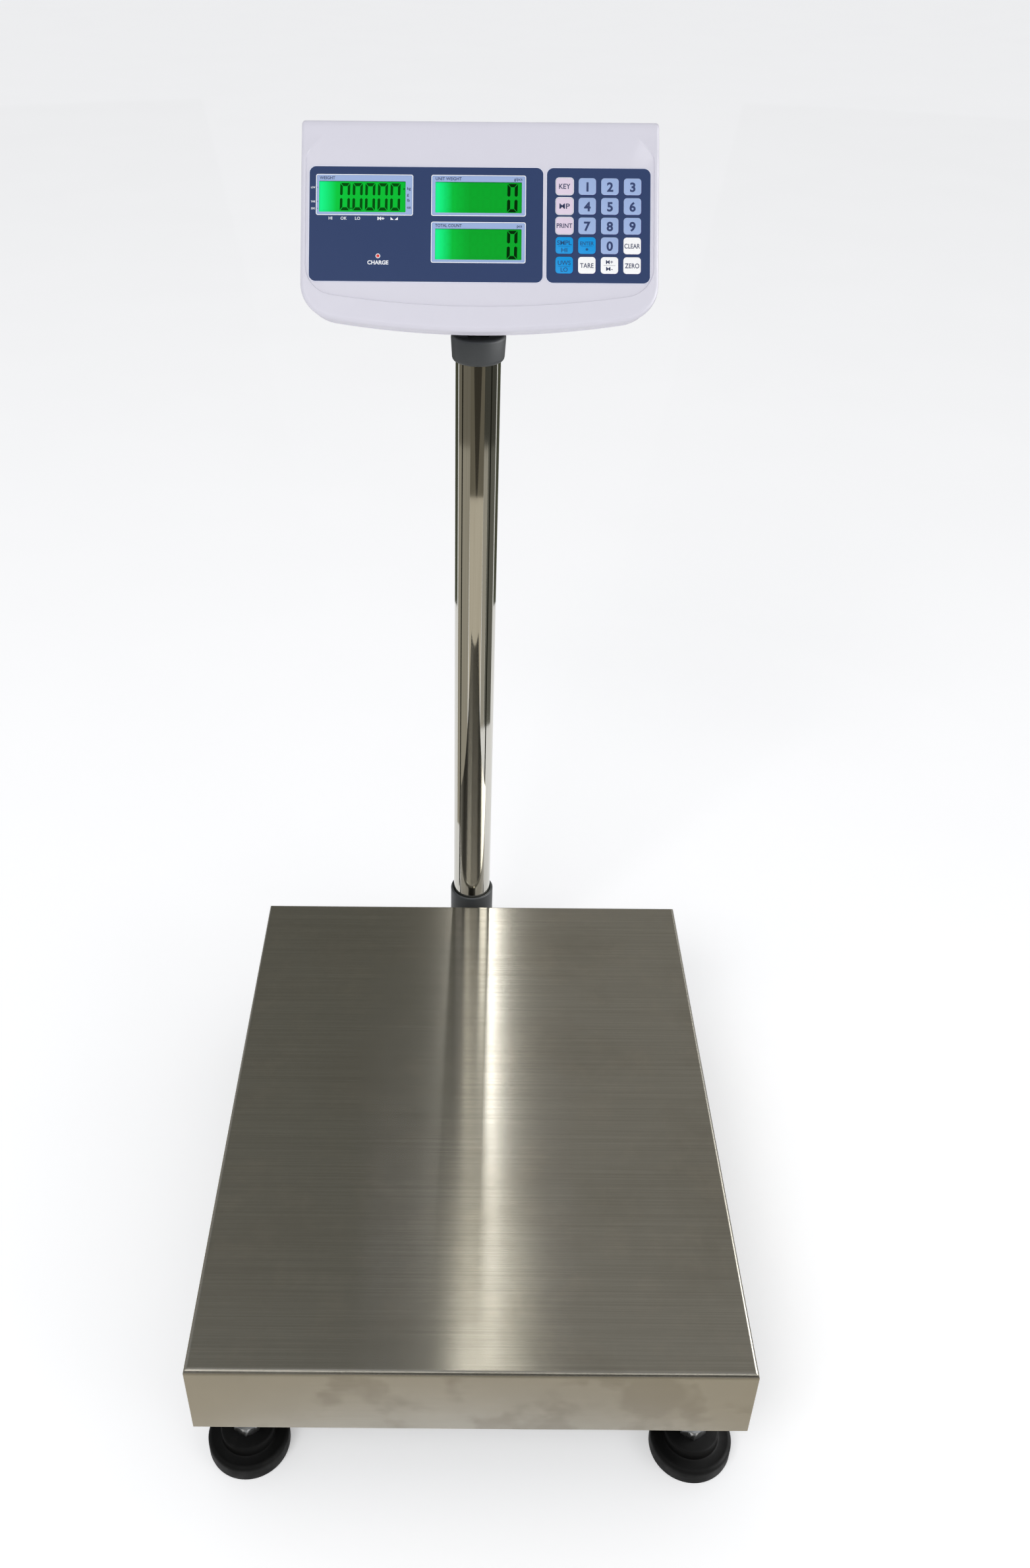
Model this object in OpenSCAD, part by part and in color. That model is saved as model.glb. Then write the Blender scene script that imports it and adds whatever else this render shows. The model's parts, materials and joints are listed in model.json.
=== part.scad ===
// Platform counting scale: a stainless pan on a load cell frame with four levelling feet,
// a pole behind it, and a tilting indicator with three displays and a 20-key pad.
// Millimetres. +Z up, the front faces -Y, and the origin is on the floor under the middle.

/* [Platform] */
// Width of the weighing pan
pan_w = 400; // [360:10:500]
// Depth of the weighing pan, front to back
pan_d = 500; // [460:10:640]
// Height of the pan's top above the floor
pan_top = 145; // [138:1:160]
// Height of the pan's folded skirt
skirt_h = 69; // [60:1:74]
// Thickness of the pan's sheet steel
sheet_t = 1.5; // [1:0.1:2]
// Outside radius of the pan's bends
bend_r = 4.5; // [3:0.5:8]

/* [Frames] */
// Side of the square tube
tube_w = 25; // [22:1:28]
// Wall of the square tube
tube_t = 2; // [1.5:0.5:3]
// Distance from the pan's sides to the frames
side_gap = 18.5; // [18:0.5:30]
// Distance from the pan's front and rear to the frames
end_gap = 20; // [16:1:40]
// Length of the load cell
cell_len = 150; // [140:1:160]
// Width and height of the load cell
cell_side = 40; // [36:1:42]

/* [Feet] */
// Diameter of a foot's rubber pad
foot_d = 62; // [50:1:70]
// Height of the pad's lower rim
foot_rim_h = 15; // [8:1:16]
// Diameter of a foot's threaded stud
stud_d = 12; // [10:1:12]

/* [Pole] */
// Outside diameter of the pole
pole_d = 36; // [34:1:38]
// Wall of the pole
pole_t = 1.5; // [1:0.5:2]
// Distance from the pan's rear edge to the pole's axis
pole_gap = 33; // [30:1:45]
// Height of the pole's top end above the floor
pole_top = 694; // [600:1:760]
// Outside diameter of the collar at the pole's foot
collar_d = 42; // [41:0.5:46]

/* [Indicator] */
// Width of the indicator's face
case_w = 268; // [258:1:280]
// Height of the indicator's face
case_h = 160; // [156:1:170]
// Lean of the face, back from upright
face_lean = 35.8; // [30:0.1:40]
// Depth of the front shell
front_d = 14; // [12:0.5:16]
// Depth of the whole case
case_d = 44; // [42:1:50]
// Wall of both shells
wall = 2.5; // [2:0.1:3]
// Depth of the sunken panel in the face
dish = 1.2; // [0.8:0.1:1.5]

/* [Keypad] */
// Width of a key
key_w = 13; // [11:0.1:13.4]
// Height of a key
key_h = 12.5; // [11:0.1:12.8]
// Distance between the key columns
key_pitch_x = 16.9; // [16:0.1:17]
// Distance between the key rows
key_pitch_y = 14.8; // [14:0.1:15]
// Gap round a key
key_gap = 0.35; // [0.3:0.05:0.5]
// Travel of a key
key_travel = 0.5; // [0.3:0.1:0.6]

/* [Hidden] */
$fn = 64;
eps = 0.01;

// Vertical stack, worked down from the pan's top
pan_under = pan_top - sheet_t;
cushion_gap = 0.1;
cushion_h = 5.4;
upper_z = pan_under - cushion_gap - cushion_h - tube_w;
upper_spacer = 8;
cell_z = upper_z - upper_spacer - cell_side;
plate_t = 6;
lower_spacer = 8;
base_z = cell_z - lower_spacer - plate_t;
base_top = base_z + tube_w;

// Plan of the frames
frame_w = pan_w - 2 * side_gap;
frame_d = pan_d - 2 * end_gap;
tube_x = frame_w / 2 - tube_w / 2;
tube_y = frame_d / 2 - tube_w / 2;
inner_w = frame_w - 2 * tube_w;
inner_d = frame_d - 2 * tube_w;

// Load cell and its plates: the fixed end is at the rear, the live end at the front
cell_bolt_d = 8;
cell_bolt_y = [45, 65];
cell_bolt_x = 12;
plate_y0 = 12;
plate_y1 = 83;
spacer_y0 = 33;
rib_h = base_top - base_z - plate_t;
cell_clear = 6;

// Overload stops and cushions stand on the side tubes
stop_d = 10;
stop_y = 110;
stop_gap = 0.8;
cushion_d = 24;
cushion_y = 185;

// Feet
foot_step_h = 9;
foot_top = foot_rim_h + foot_step_h;
hex_h = 8;
nut_h = 8;
thread_gap = 0.05;
FEET = [["fl", -1, -1], ["fr", 1, -1], ["rl", -1, 1], ["rr", 1, 1]];

// Pole, its bracket and collar
pole_y = pan_d / 2 + pole_gap;
bracket_t = 6;
bracket_z = base_z - bracket_t;
bracket_w = 60;
bracket_bolt_d = 8;
bracket_bolt_x = [-48, -18, 18, 48];
spigot_gap = 0.1;
pole_id = pole_d - 2 * pole_t;
spigot_d = pole_id - 2 * spigot_gap;
spigot_top = base_z + 84;
collar_top = pan_top - 1;
pole_screw_z = base_z + 60;
cable_d = 5;
cable_z = base_z + 11;
cable_bend_r = 10;

// Neck: a cap on the pole with two ears for the tilt bolt
neck_low = pole_top - 16;
neck_high = pole_top + 4;
neck_r0 = 20.8;
neck_r1 = 21.8;
swivel_gap = 0.05;
tilt_z = neck_high + 6;
ear_r = 8;
ear_in = 8.4;
ear_out = 16;
tilt_bolt_d = 6;

// Indicator: the face's middle, and the case in its own frame, x right, y up the face, z out of it
face_y = pole_y + 3;
face_z = pole_top + 84;
body_tilt = 90 - face_lean;
// Height of the tilt axis in the case's frame
axis_v = (pole_y - face_y) * cos(body_tilt) + (tilt_z - face_z) * sin(body_tilt);
// Depth of the tilt axis in the case's frame
axis_n = -(pole_y - face_y) * sin(body_tilt) + (tilt_z - face_z) * cos(body_tilt);

// Case outline: sides, a shallow bottom arc and large lower corners
case_bow = 711;
case_corner = 28;
case_top_r = 3;
edge_r = 3;
// Sunken panel in the face
dish_w = 260;
dish_top = 67;
dish_bottom = -61;
dish_bow = 769;
dish_corner = 22;
dish_top_r = 16;
// Flat back of the rear shell
back_w = 236;
back_top = 70;
back_bottom = -36;
back_r = 8;
back_edge = 3;
// Straight rim of the rear shell
shell_rim = 3;
// Angle of the case's sloping underside to its face
slope_angle = atan((case_d - front_d - shell_rim) / (case_h / 2 + back_bottom + back_edge));

// Displays
lcd_w = 64.6;
lcd_h = 23.2;
LCDS = [[-88, 20.5], [-1.1, 20.5], [-1.1, -14.7]];
led_at = [-76, -24];
led_d = 3.4;

// Overlays
label_t = 0.5;
display_label_w = 174.6;
display_label_x = -40.2;
keypad_label_w = 77.4;
keypad_label_x = 88.6;
label_h = 86.2;
label_v = 0;
label_r = 3.6;

// Keys: names by row, from the top left
KEYS = [
    ["key_code", "key_1", "key_2", "key_3"],
    ["key_memory_plus", "key_4", "key_5", "key_6"],
    ["key_print", "key_7", "key_8", "key_9"],
    ["key_sample", "key_point", "key_0", "key_clear"],
    ["key_unit_weight", "key_tare", "key_memory_clear", "key_zero"]
];
key_x0 = 63.2;
key_y0 = 29.4;
key_r = 2.4;
key_t = 1.9;
key_proud = 0.1;
key_nub_d = 4;

// Inside the case
board_front = -8.7;
board_t = 1.6;
board_w = 240;
board_v0 = -38;
board_v1 = 47;
post_d = 8;
case_screw_d = 3.5;
CASE_SCREWS = [[-104, 58], [104, 58], [-88, -50], [88, -50]];
battery_w = 97;
battery_h = 52;
battery_t = 24;
battery_x = 20;
battery_v = 22;

// Rear panel parts, in the case's frame
port_at = [-84, 12];
jack_at = [-52, 12];
switch_at = [92, 12];
port_w = 31;
port_h = 12.6;
jack_d = 11;
switch_w = 14;
switch_len = 21;
rock = 12;
rock_r = 8.6;
rock_w = 9;
rock_depth = 3;

// Bracket under the head
seat_gap = 9;
bracket_plate_t = 2.4;
bracket_plate_w = 56;
bracket_plate_len = 34;
lug_w = 16;
bracket_screw_d = 3.5;
BRACKET_SCREWS = [[-20, -11], [20, -11], [-20, 11], [20, 11]];

// Moves the platform's middle so that the whole object is centred front to back
rear_reach = face_y + (back_top - back_edge) * cos(body_tilt) + case_d * sin(body_tilt);
middle_y = (rear_reach - pan_d / 2) / 2;

KEY_NODES = [for (row = KEYS) for (name = row) name];
FOOT_NODES = [for (f = FEET) for (piece = ["foot_pad_", "foot_stud_"]) str(piece, f[0])];

// ---------- shared shapes ----------

// Box centred in x and y, standing on z = 0
module block(w, d, h) {
    translate([-w / 2, -d / 2, 0]) cube([w, d, h]);
}

// Rectangle with round corners, centred
module rounded(w, h, r) {
    square([w - 2 * r, h], center = true);
    square([w, h - 2 * r], center = true);
    for (x = [-1, 1]) {
        for (y = [-1, 1]) {
            translate([x * (w / 2 - r), y * (h / 2 - r)]) circle(r);
        }
    }
}

// Extrusion from depth z0 up to z1
module slab(z0, z1) {
    translate([0, 0, z0]) linear_extrude(z1 - z0) children();
}

// Hexagon of a size across its flats
module hexagon(flats, h) {
    cylinder(h = h, d = flats / cos(30), $fn = 6);
}

// Bolt pointing up: the head hangs below z = 0
module bolt_up(d, len, head_h) {
    cylinder(h = len, d = d);
    translate([0, 0, -head_h]) hexagon(1.6 * d, head_h);
}

// Hollow rectangular ring of square tube
module tube_ring() {
    difference() {
        block(frame_w, frame_d, tube_w);
        translate([0, 0, -1]) block(inner_w, inner_d, tube_w + 2);
        translate([0, 0, tube_t]) difference() {
            block(frame_w - 2 * tube_t, frame_d - 2 * tube_t, tube_w - 2 * tube_t);
            translate([0, 0, -1]) block(inner_w + 2 * tube_t, inner_d + 2 * tube_t, tube_w + 2);
        }
    }
}

// Points of a shield-shaped outline, inset evenly by s
function arc(cx, cy, r, a0, a1, n) = [
    for (i = [0:n]) let(a = a0 + (a1 - a0) * i / n) [cx + r * cos(a), cy + r * sin(a)]
];
function shield(w, top, bottom, bow, corner, top_r, s) = let(
    cx = w / 2 - corner,
    bow_y = bottom + bow,
    reach = bow - corner,
    cy = bow_y - sqrt(reach * reach - cx * cx),
    a = asin(cx / reach),
    r = corner - s,
    tx = w / 2 - top_r,
    ty = top - top_r,
    tr = max(top_r - s, 0.2)
) concat(
    arc(0, bow_y, bow - s, 270 - a, 270 + a, 16),
    arc(cx, cy, r, 270 + a + 8, 360, 8),
    arc(tx, ty, tr, 0, 90, 6),
    arc(-tx, ty, tr, 90, 180, 6),
    arc(-cx, cy, r, 180, 270 - a - 8, 8)
);
module case_outline(s) {
    polygon(shield(case_w, case_h / 2, -case_h / 2, case_bow, case_corner, case_top_r, s));
}
module dish_outline() {
    polygon(shield(dish_w, dish_top, dish_bottom, dish_bow, dish_corner, dish_top_r, 0));
}

// Puts a child from the case's frame into place on the neck
module on_head() {
    translate([0, face_y, face_z]) rotate([body_tilt, 0, 0]) children();
}

// Puts a child from a frame on the tilt axis, z square to the case's sloping underside
module on_slope() {
    on_head() translate([0, axis_v, axis_n]) rotate([-slope_angle, 0, 0]) children();
}

// ---------- base ----------

module base_frame() {
    color("dimgray") translate([0, 0, base_z]) difference() {
        union() {
            tube_ring();
            for (f = FEET) {
                translate([f[1] * tube_x, f[2] * tube_y, 0]) cylinder(h = tube_w, d = stud_d + 8);
            }
            for (x = [-1, 1]) {
                for (y = [-1, 1]) {
                    translate([x * tube_x, y * stop_y, 0]) cylinder(h = tube_w, d = stop_d + 6);
                }
            }
            for (x = bracket_bolt_x) {
                translate([x, tube_y, 0]) cylinder(h = tube_w, d = bracket_bolt_d + 6);
            }
            translate([-inner_w / 2, plate_y0, 0]) cube([inner_w, plate_y1 - plate_y0, plate_t]);
            for (y = [plate_y0, plate_y1 - plate_t]) {
                translate([-inner_w / 2, y, 0]) cube([inner_w, plate_t, plate_t + rib_h]);
            }
            translate([-cell_side / 2, spacer_y0, plate_t - eps]) {
                cube([cell_side, cell_len / 2 - spacer_y0, lower_spacer + eps]);
            }
        }
        // room for the cell over the front rib
        translate([-cell_side / 2 - cell_clear, plate_y0 - 1, plate_t + 3]) {
            cube([cell_side + 2 * cell_clear, plate_t + 2, rib_h + 2]);
        }
        for (f = FEET) {
            translate([f[1] * tube_x, f[2] * tube_y, -1]) {
                cylinder(h = tube_w + 2, d = stud_d + 2 * thread_gap);
            }
        }
        for (x = [-1, 1]) {
            for (y = [-1, 1]) {
                translate([x * tube_x, y * stop_y, -1]) cylinder(h = tube_w + 2, d = stop_d);
            }
            for (y = cell_bolt_y) {
                translate([x * cell_bolt_x, y, -1]) {
                    cylinder(h = plate_t + lower_spacer + 2, d = cell_bolt_d);
                }
            }
        }
        for (x = bracket_bolt_x) {
            translate([x, tube_y, -1]) cylinder(h = tube_w + 2, d = bracket_bolt_d);
        }
    }
}

module foot_locknuts() {
    color("silver") for (f = FEET) {
        translate([f[1] * tube_x, f[2] * tube_y, base_z - nut_h]) difference() {
            hexagon(1.6 * stud_d, nut_h);
            translate([0, 0, -1]) cylinder(h = nut_h + 2, d = stud_d + 2 * thread_gap);
        }
    }
}

module load_cell() {
    hole_d = 22;
    hole_y = 15;
    slot_h = 6;
    color("silver") translate([0, 0, cell_z]) difference() {
        union() {
            block(cell_side, cell_len, cell_side);
            // gland of the cell's lead
            translate([0, cell_len / 2, cell_side / 2]) rotate([-90, 0, 0]) cylinder(h = 8, d = 10);
        }
        // double bore that makes the two thin bending beams
        for (y = [-hole_y, hole_y]) {
            translate([-cell_side / 2 - 1, y, cell_side / 2]) rotate([0, 90, 0]) {
                cylinder(h = cell_side + 2, d = hole_d);
            }
        }
        translate([-cell_side / 2 - 1, -hole_y, cell_side / 2 - slot_h / 2]) {
            cube([cell_side + 2, 2 * hole_y, slot_h]);
        }
        for (x = [-cell_bolt_x, cell_bolt_x]) {
            for (y = cell_bolt_y) {
                translate([x, y, -1]) cylinder(h = 17, d = cell_bolt_d);
                translate([x, -y, cell_side - 16]) cylinder(h = 17, d = cell_bolt_d);
            }
        }
    }
}

module lower_cell_bolts() {
    color("silver") for (x = [-cell_bolt_x, cell_bolt_x]) {
        for (y = cell_bolt_y) {
            translate([x, y, base_z]) bolt_up(cell_bolt_d, plate_t + lower_spacer + 15, 5.5);
        }
    }
}

module overload_stops() {
    head_h = 6.5;
    stop_top = upper_z - stop_gap;
    color("silver") for (x = [-1, 1]) {
        for (y = [-1, 1]) {
            translate([x * tube_x, y * stop_y, 0]) {
                translate([0, 0, base_z + 4]) cylinder(h = stop_top - base_z - 4, d = stop_d);
                translate([0, 0, stop_top - head_h]) hexagon(1.6 * stop_d, head_h);
                translate([0, 0, base_top]) hexagon(1.6 * stop_d, head_h);
            }
        }
    }
}

module pole_bracket() {
    rib_t = 5;
    rib_x = bracket_w / 2 - rib_t;
    rib_y0 = frame_d / 2 + 1;
    wide = 2 * max(bracket_bolt_x) + 24;
    color("dimgray") difference() {
        union() {
            translate([0, 0, bracket_z]) linear_extrude(bracket_t) {
                translate([-wide / 2, frame_d / 2 - tube_w]) square([wide, tube_w]);
                translate([-bracket_w / 2, frame_d / 2 - tube_w]) {
                    square([bracket_w, pole_y - frame_d / 2 + tube_w]);
                }
                translate([0, pole_y]) circle(d = bracket_w);
            }
            for (x = [-rib_x - rib_t, rib_x]) {
                translate([x, rib_y0, base_z - eps]) cube([rib_t, pole_y - rib_y0, 18]);
            }
            translate([0, pole_y, bracket_z]) cylinder(h = spigot_top - bracket_z, d = spigot_d);
        }
        translate([0, pole_y, bracket_z - 1]) cylinder(h = spigot_top, d = spigot_d - 7);
        translate([0, pole_y, cable_z]) rotate([90, 0, 0]) cylinder(h = pole_d, d = cable_d + 4);
        translate([0, pole_y, pole_screw_z]) rotate([-90, 0, 0]) cylinder(h = pole_d, d = 6);
        for (x = bracket_bolt_x) {
            translate([x, tube_y, bracket_z - 1]) cylinder(h = bracket_t + 2, d = bracket_bolt_d);
        }
    }
}

module bracket_bolts() {
    color("silver") for (x = bracket_bolt_x) {
        translate([x, tube_y, bracket_z]) bolt_up(bracket_bolt_d, bracket_t + tube_w + 8, 5.5);
        translate([x, tube_y, base_top]) hexagon(1.6 * bracket_bolt_d, 6.5);
    }
}

module pole_collar() {
    lip_r = 1.2;
    color("dimgray") translate([0, pole_y, 0]) difference() {
        rotate_extrude() {
            translate([pole_d / 2 + thread_gap, base_z]) {
                square([(collar_d - pole_d) / 2 - thread_gap, collar_top - base_z - lip_r]);
                square([(collar_d - pole_d) / 2 - thread_gap - lip_r, collar_top - base_z]);
            }
            translate([collar_d / 2 - lip_r, collar_top - lip_r]) circle(lip_r);
        }
        translate([0, 0, cable_z]) rotate([90, 0, 0]) cylinder(h = collar_d, d = cable_d + 4);
        translate([0, 0, pole_screw_z]) rotate([-90, 0, 0]) cylinder(h = collar_d, d = 6);
    }
}

module pole() {
    color("lightgray") translate([0, pole_y, 0]) difference() {
        translate([0, 0, base_z]) cylinder(h = pole_top - base_z, d = pole_d);
        translate([0, 0, base_z - 1]) cylinder(h = pole_top, d = pole_id);
        translate([0, 0, cable_z]) rotate([90, 0, 0]) cylinder(h = pole_d, d = cable_d + 4);
        translate([0, 0, pole_screw_z]) rotate([-90, 0, 0]) cylinder(h = pole_d, d = 6);
    }
}

module pole_screw() {
    color("silver") translate([0, pole_y, pole_screw_z]) rotate([-90, 0, 0]) {
        translate([0, 0, spigot_d / 2 - 3.5]) cylinder(h = (collar_d - spigot_d) / 2 + 3.5, d = 6);
        translate([0, 0, collar_d / 2]) cylinder(h = 3, d = 10);
    }
}

// Quarter ring of cable, side on, from angle a round the point (y, z)
module cable_bend(y, z, a) {
    translate([0, y, z]) rotate([90, 0, 90]) rotate([0, 0, a]) rotate_extrude(angle = 90) {
        translate([cable_bend_r, 0]) circle(d = cable_d);
    }
}
// Lead from the cell over the rear tube, down behind it and up inside the pole
module signal_cable() {
    start_y = cell_len / 2 + 8;
    top_z = cell_z + cell_side / 2;
    down_y = frame_d / 2 + 9;
    end_z = pole_top - 24;
    r = cable_bend_r;
    color("black") {
        translate([0, start_y, top_z]) rotate([-90, 0, 0]) {
            cylinder(h = down_y - r - start_y, d = cable_d);
        }
        cable_bend(down_y - r, top_z - r, 0);
        translate([0, down_y, cable_z + r]) cylinder(h = top_z - cable_z - 2 * r, d = cable_d);
        cable_bend(down_y + r, cable_z + r, 180);
        translate([0, down_y + r, cable_z]) rotate([-90, 0, 0]) {
            cylinder(h = pole_y - down_y - 2 * r, d = cable_d);
        }
        cable_bend(pole_y - r, cable_z + r, 270);
        translate([0, pole_y, cable_z + r]) cylinder(h = end_z - cable_z - r, d = cable_d);
    }
}

// ---------- weighing part ----------

module upper_frame() {
    color("dimgray") translate([0, 0, upper_z]) difference() {
        union() {
            tube_ring();
            translate([-inner_w / 2, -plate_y1, 0]) cube([inner_w, plate_y1 - plate_y0, plate_t]);
            for (y = [plate_y0 + plate_t, plate_y1]) {
                translate([-inner_w / 2, -y, 0]) cube([inner_w, plate_t, tube_w]);
            }
            translate([-cell_side / 2, -cell_len / 2, -upper_spacer]) {
                cube([cell_side, cell_len / 2 - spacer_y0, upper_spacer + eps]);
            }
        }
        for (x = [-cell_bolt_x, cell_bolt_x]) {
            for (y = cell_bolt_y) {
                translate([x, -y, -upper_spacer - 1]) {
                    cylinder(h = plate_t + upper_spacer + 2, d = cell_bolt_d);
                }
            }
        }
    }
}

module upper_cell_bolts() {
    color("silver") for (x = [-cell_bolt_x, cell_bolt_x]) {
        for (y = cell_bolt_y) {
            translate([x, -y, upper_z + plate_t]) rotate([180, 0, 0]) {
                bolt_up(cell_bolt_d - 0.2, plate_t + upper_spacer + 15, 5.5);
            }
        }
    }
}

module pan_cushions() {
    color("black") for (x = [-1, 1]) {
        for (y = [-1, 1]) {
            translate([x * tube_x, y * cushion_y, upper_z + tube_w]) {
                cylinder(h = cushion_h, d = cushion_d);
            }
        }
    }
}

// Section of the pan: width w, with round upper corners
module pan_section(w, h, r) {
    translate([-w / 2, 0]) square([w, h - r]);
    translate([-w / 2 + r, 0]) square([w - 2 * r, h]);
    for (x = [-1, 1]) {
        translate([x * (w / 2 - r), h - r]) circle(r);
    }
}
module pan_solid(w, d, h, r) {
    intersection() {
        translate([0, d / 2, 0]) rotate([90, 0, 0]) linear_extrude(d) pan_section(w, h, r);
        translate([-w / 2, 0, 0]) rotate([90, 0, 90]) linear_extrude(w) pan_section(d, h, r);
    }
}
module weighing_pan() {
    color("gray") translate([0, 0, pan_top - skirt_h]) difference() {
        pan_solid(pan_w, pan_d, skirt_h, bend_r);
        translate([0, 0, -1]) {
            pan_solid(pan_w - 2 * sheet_t, pan_d - 2 * sheet_t, skirt_h - sheet_t + 1, bend_r - sheet_t);
        }
    }
}

// ---------- feet ----------

module foot_pad(f) {
    rim_r = 3;
    step_r = 1.5;
    step_d = 0.66 * foot_d;
    color("black") translate([f[1] * tube_x, f[2] * tube_y, 0]) difference() {
        rotate_extrude() {
            square([foot_d / 2, foot_rim_h - rim_r]);
            square([foot_d / 2 - rim_r, foot_rim_h]);
            translate([foot_d / 2 - rim_r, foot_rim_h - rim_r]) intersection() {
                circle(rim_r);
                square(rim_r);
            }
            square([step_d / 2, foot_top - step_r]);
            square([step_d / 2 - step_r, foot_top]);
            translate([step_d / 2 - step_r, foot_top - step_r]) intersection() {
                circle(step_r);
                square(step_r);
            }
        }
        translate([0, 0, foot_rim_h - 3]) cylinder(h = foot_top, d = stud_d);
    }
}

module foot_stud(f) {
    stud_top = base_top + 6;
    color("silver") translate([f[1] * tube_x, f[2] * tube_y, 0]) {
        translate([0, 0, foot_rim_h - 3]) cylinder(h = stud_top - foot_rim_h + 3, d = stud_d);
        translate([0, 0, foot_top]) hexagon(1.6 * stud_d, hex_h);
    }
}

// ---------- neck ----------

module neck() {
    low_r = 3;
    bore_d = pole_d + 2 * swivel_gap;
    color("dimgray") translate([0, pole_y, 0]) difference() {
        union() {
            rotate_extrude() {
                polygon([
                    [0, neck_low + low_r], [neck_r0, neck_low + low_r],
                    [neck_r1, neck_high - 1.5], [neck_r1 - 1.5, neck_high], [0, neck_high]
                ]);
                translate([neck_r0 - low_r, neck_low + low_r]) intersection() {
                    circle(low_r);
                    translate([0, -low_r]) square(low_r + eps);
                }
                translate([0, neck_low]) square([neck_r0 - low_r, low_r + eps]);
            }
            for (x = [-ear_out, ear_in]) {
                translate([x, 0, tilt_z]) rotate([0, 90, 0]) cylinder(h = ear_out - ear_in, r = ear_r);
                translate([x, -ear_r, neck_high - eps]) {
                    cube([ear_out - ear_in, 2 * ear_r, tilt_z - neck_high]);
                }
            }
        }
        // socket for the pole, round the spigot
        translate([0, 0, neck_low - 1]) difference() {
            cylinder(h = pole_top + 0.3 - neck_low + 1, d = bore_d);
            cylinder(h = pole_top + 2, d = pole_id - 2 * swivel_gap);
        }
        translate([0, 0, neck_low - 1]) cylinder(h = pole_top - neck_low, d = pole_id - 8);
        // way out of the cable, behind the ears
        translate([0, 12, neck_low]) cylinder(h = neck_high, d = cable_d + 2);
        // hollow in the top for the lug's round end
        translate([-ear_in, 0, tilt_z]) rotate([0, 90, 0]) cylinder(h = 2 * ear_in, r = ear_r);
        for (x = [-1, 1]) {
            translate([0, 0, tilt_z]) rotate([0, 90 * x, 0]) cylinder(h = ear_out + 1, d = tilt_bolt_d);
        }
    }
}

module tilt_bolt() {
    color("silver") translate([-ear_out, pole_y, tilt_z]) rotate([0, 90, 0]) {
        cylinder(h = 2 * ear_out, d = tilt_bolt_d);
        translate([0, 0, -4]) cylinder(h = 4, d = 10.5);
        translate([0, 0, 2 * ear_out]) hexagon(10, 5);
    }
}

// ---------- indicator ----------

module front_case() {
    face_in = -dish - wall;
    color("lavender") on_head() difference() {
        union() {
            difference() {
                hull() {
                    slab(-front_d, -edge_r) case_outline(0);
                    slab(-edge_r, -0.5 * edge_r) case_outline(0.13 * edge_r);
                    slab(-edge_r, -0.13 * edge_r) case_outline(0.5 * edge_r);
                    slab(-edge_r, 0) case_outline(edge_r);
                }
                slab(-front_d - 1, face_in) case_outline(wall);
            }
            // posts that the case screws go into
            for (p = CASE_SCREWS) {
                translate([p[0], p[1], -front_d]) cylinder(h = front_d + face_in + eps, d = post_d);
            }
        }
        slab(-dish, 1) dish_outline();
        for (p = LCDS) {
            slab(face_in - 1, 0) translate(p) square([lcd_w + 1, lcd_h + 1], center = true);
        }
        for (row = [0:4]) {
            for (col = [0:3]) {
                slab(face_in - 1, 0) key_place(row, col) {
                    square([key_w + 2 * key_gap, key_h + 2 * key_gap], center = true);
                }
            }
        }
        slab(face_in - 1, 0) translate(led_at) circle(d = led_d);
        for (p = CASE_SCREWS) {
            translate([p[0], p[1], -front_d - 1]) cylinder(h = 9, d = case_screw_d);
        }
    }
}

// Rear shell: one convex form from the case's outline back to the flat back
module rear_solid(s) {
    hull() {
        slab(-front_d - shell_rim, -front_d) case_outline(s);
        for (inset = [0, back_edge]) {
            depth = case_d - s - back_edge + inset;
            slab(-depth, -depth + 1) translate([0, (back_top + back_bottom) / 2]) {
                rounded(back_w - 2 * (s + inset), back_top - back_bottom - 2 * (s + inset), back_r);
            }
        }
    }
}

module rear_case() {
    color("gainsboro") difference() {
        union() {
            on_head() difference() {
                rear_solid(0);
                difference() {
                    union() {
                        rear_solid(wall);
                        slab(-front_d - 1, -front_d + 1) case_outline(wall);
                    }
                    // bosses for the case screws
                    for (p = CASE_SCREWS) {
                        translate([p[0], p[1], -case_d]) cylinder(h = case_d - front_d, d = post_d + 3);
                    }
                }
            }
            // flat seat for the bracket
            on_slope() translate([0, 0, seat_gap + bracket_plate_t]) {
                block(bracket_plate_w + 6, bracket_plate_len + 2, 3);
            }
        }
        on_head() {
            for (p = CASE_SCREWS) {
                translate([p[0], p[1], -case_d - 1]) {
                    cylinder(h = case_d - front_d - 12 + 1, d = post_d);
                    cylinder(h = case_d, d = case_screw_d);
                }
            }
            slab(-case_d - 1, -case_d + wall + 1) {
                translate(port_at) square([port_w, port_h], center = true);
                translate(jack_at) circle(d = jack_d);
                translate(switch_at) square([switch_w - 2, switch_len - 2], center = true);
            }
        }
        on_slope() for (p = BRACKET_SCREWS) {
            translate(p) cylinder(h = 20, d = bracket_screw_d);
        }
    }
}

module case_screws() {
    color("silver") on_head() for (p = CASE_SCREWS) {
        translate([p[0], p[1], -front_d - 12]) {
            cylinder(h = 12 + 7, d = case_screw_d);
            translate([0, 0, -2.5]) cylinder(h = 2.5, d = 6.5);
        }
    }
}

module head_bracket() {
    color("dimgray") on_slope() difference() {
        union() {
            translate([0, 0, seat_gap]) block(bracket_plate_w, bracket_plate_len, bracket_plate_t);
            rotate([0, 90, 0]) translate([0, 0, -lug_w / 2]) cylinder(h = lug_w, r = ear_r - 0.5);
            block(lug_w, 2 * ear_r - 1, seat_gap + eps);
        }
        rotate([0, 90, 0]) translate([0, 0, -lug_w]) {
            cylinder(h = 2 * lug_w, d = tilt_bolt_d + 2 * thread_gap);
        }
        for (p = BRACKET_SCREWS) {
            translate(p) cylinder(h = 20, d = bracket_screw_d);
        }
    }
}

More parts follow.
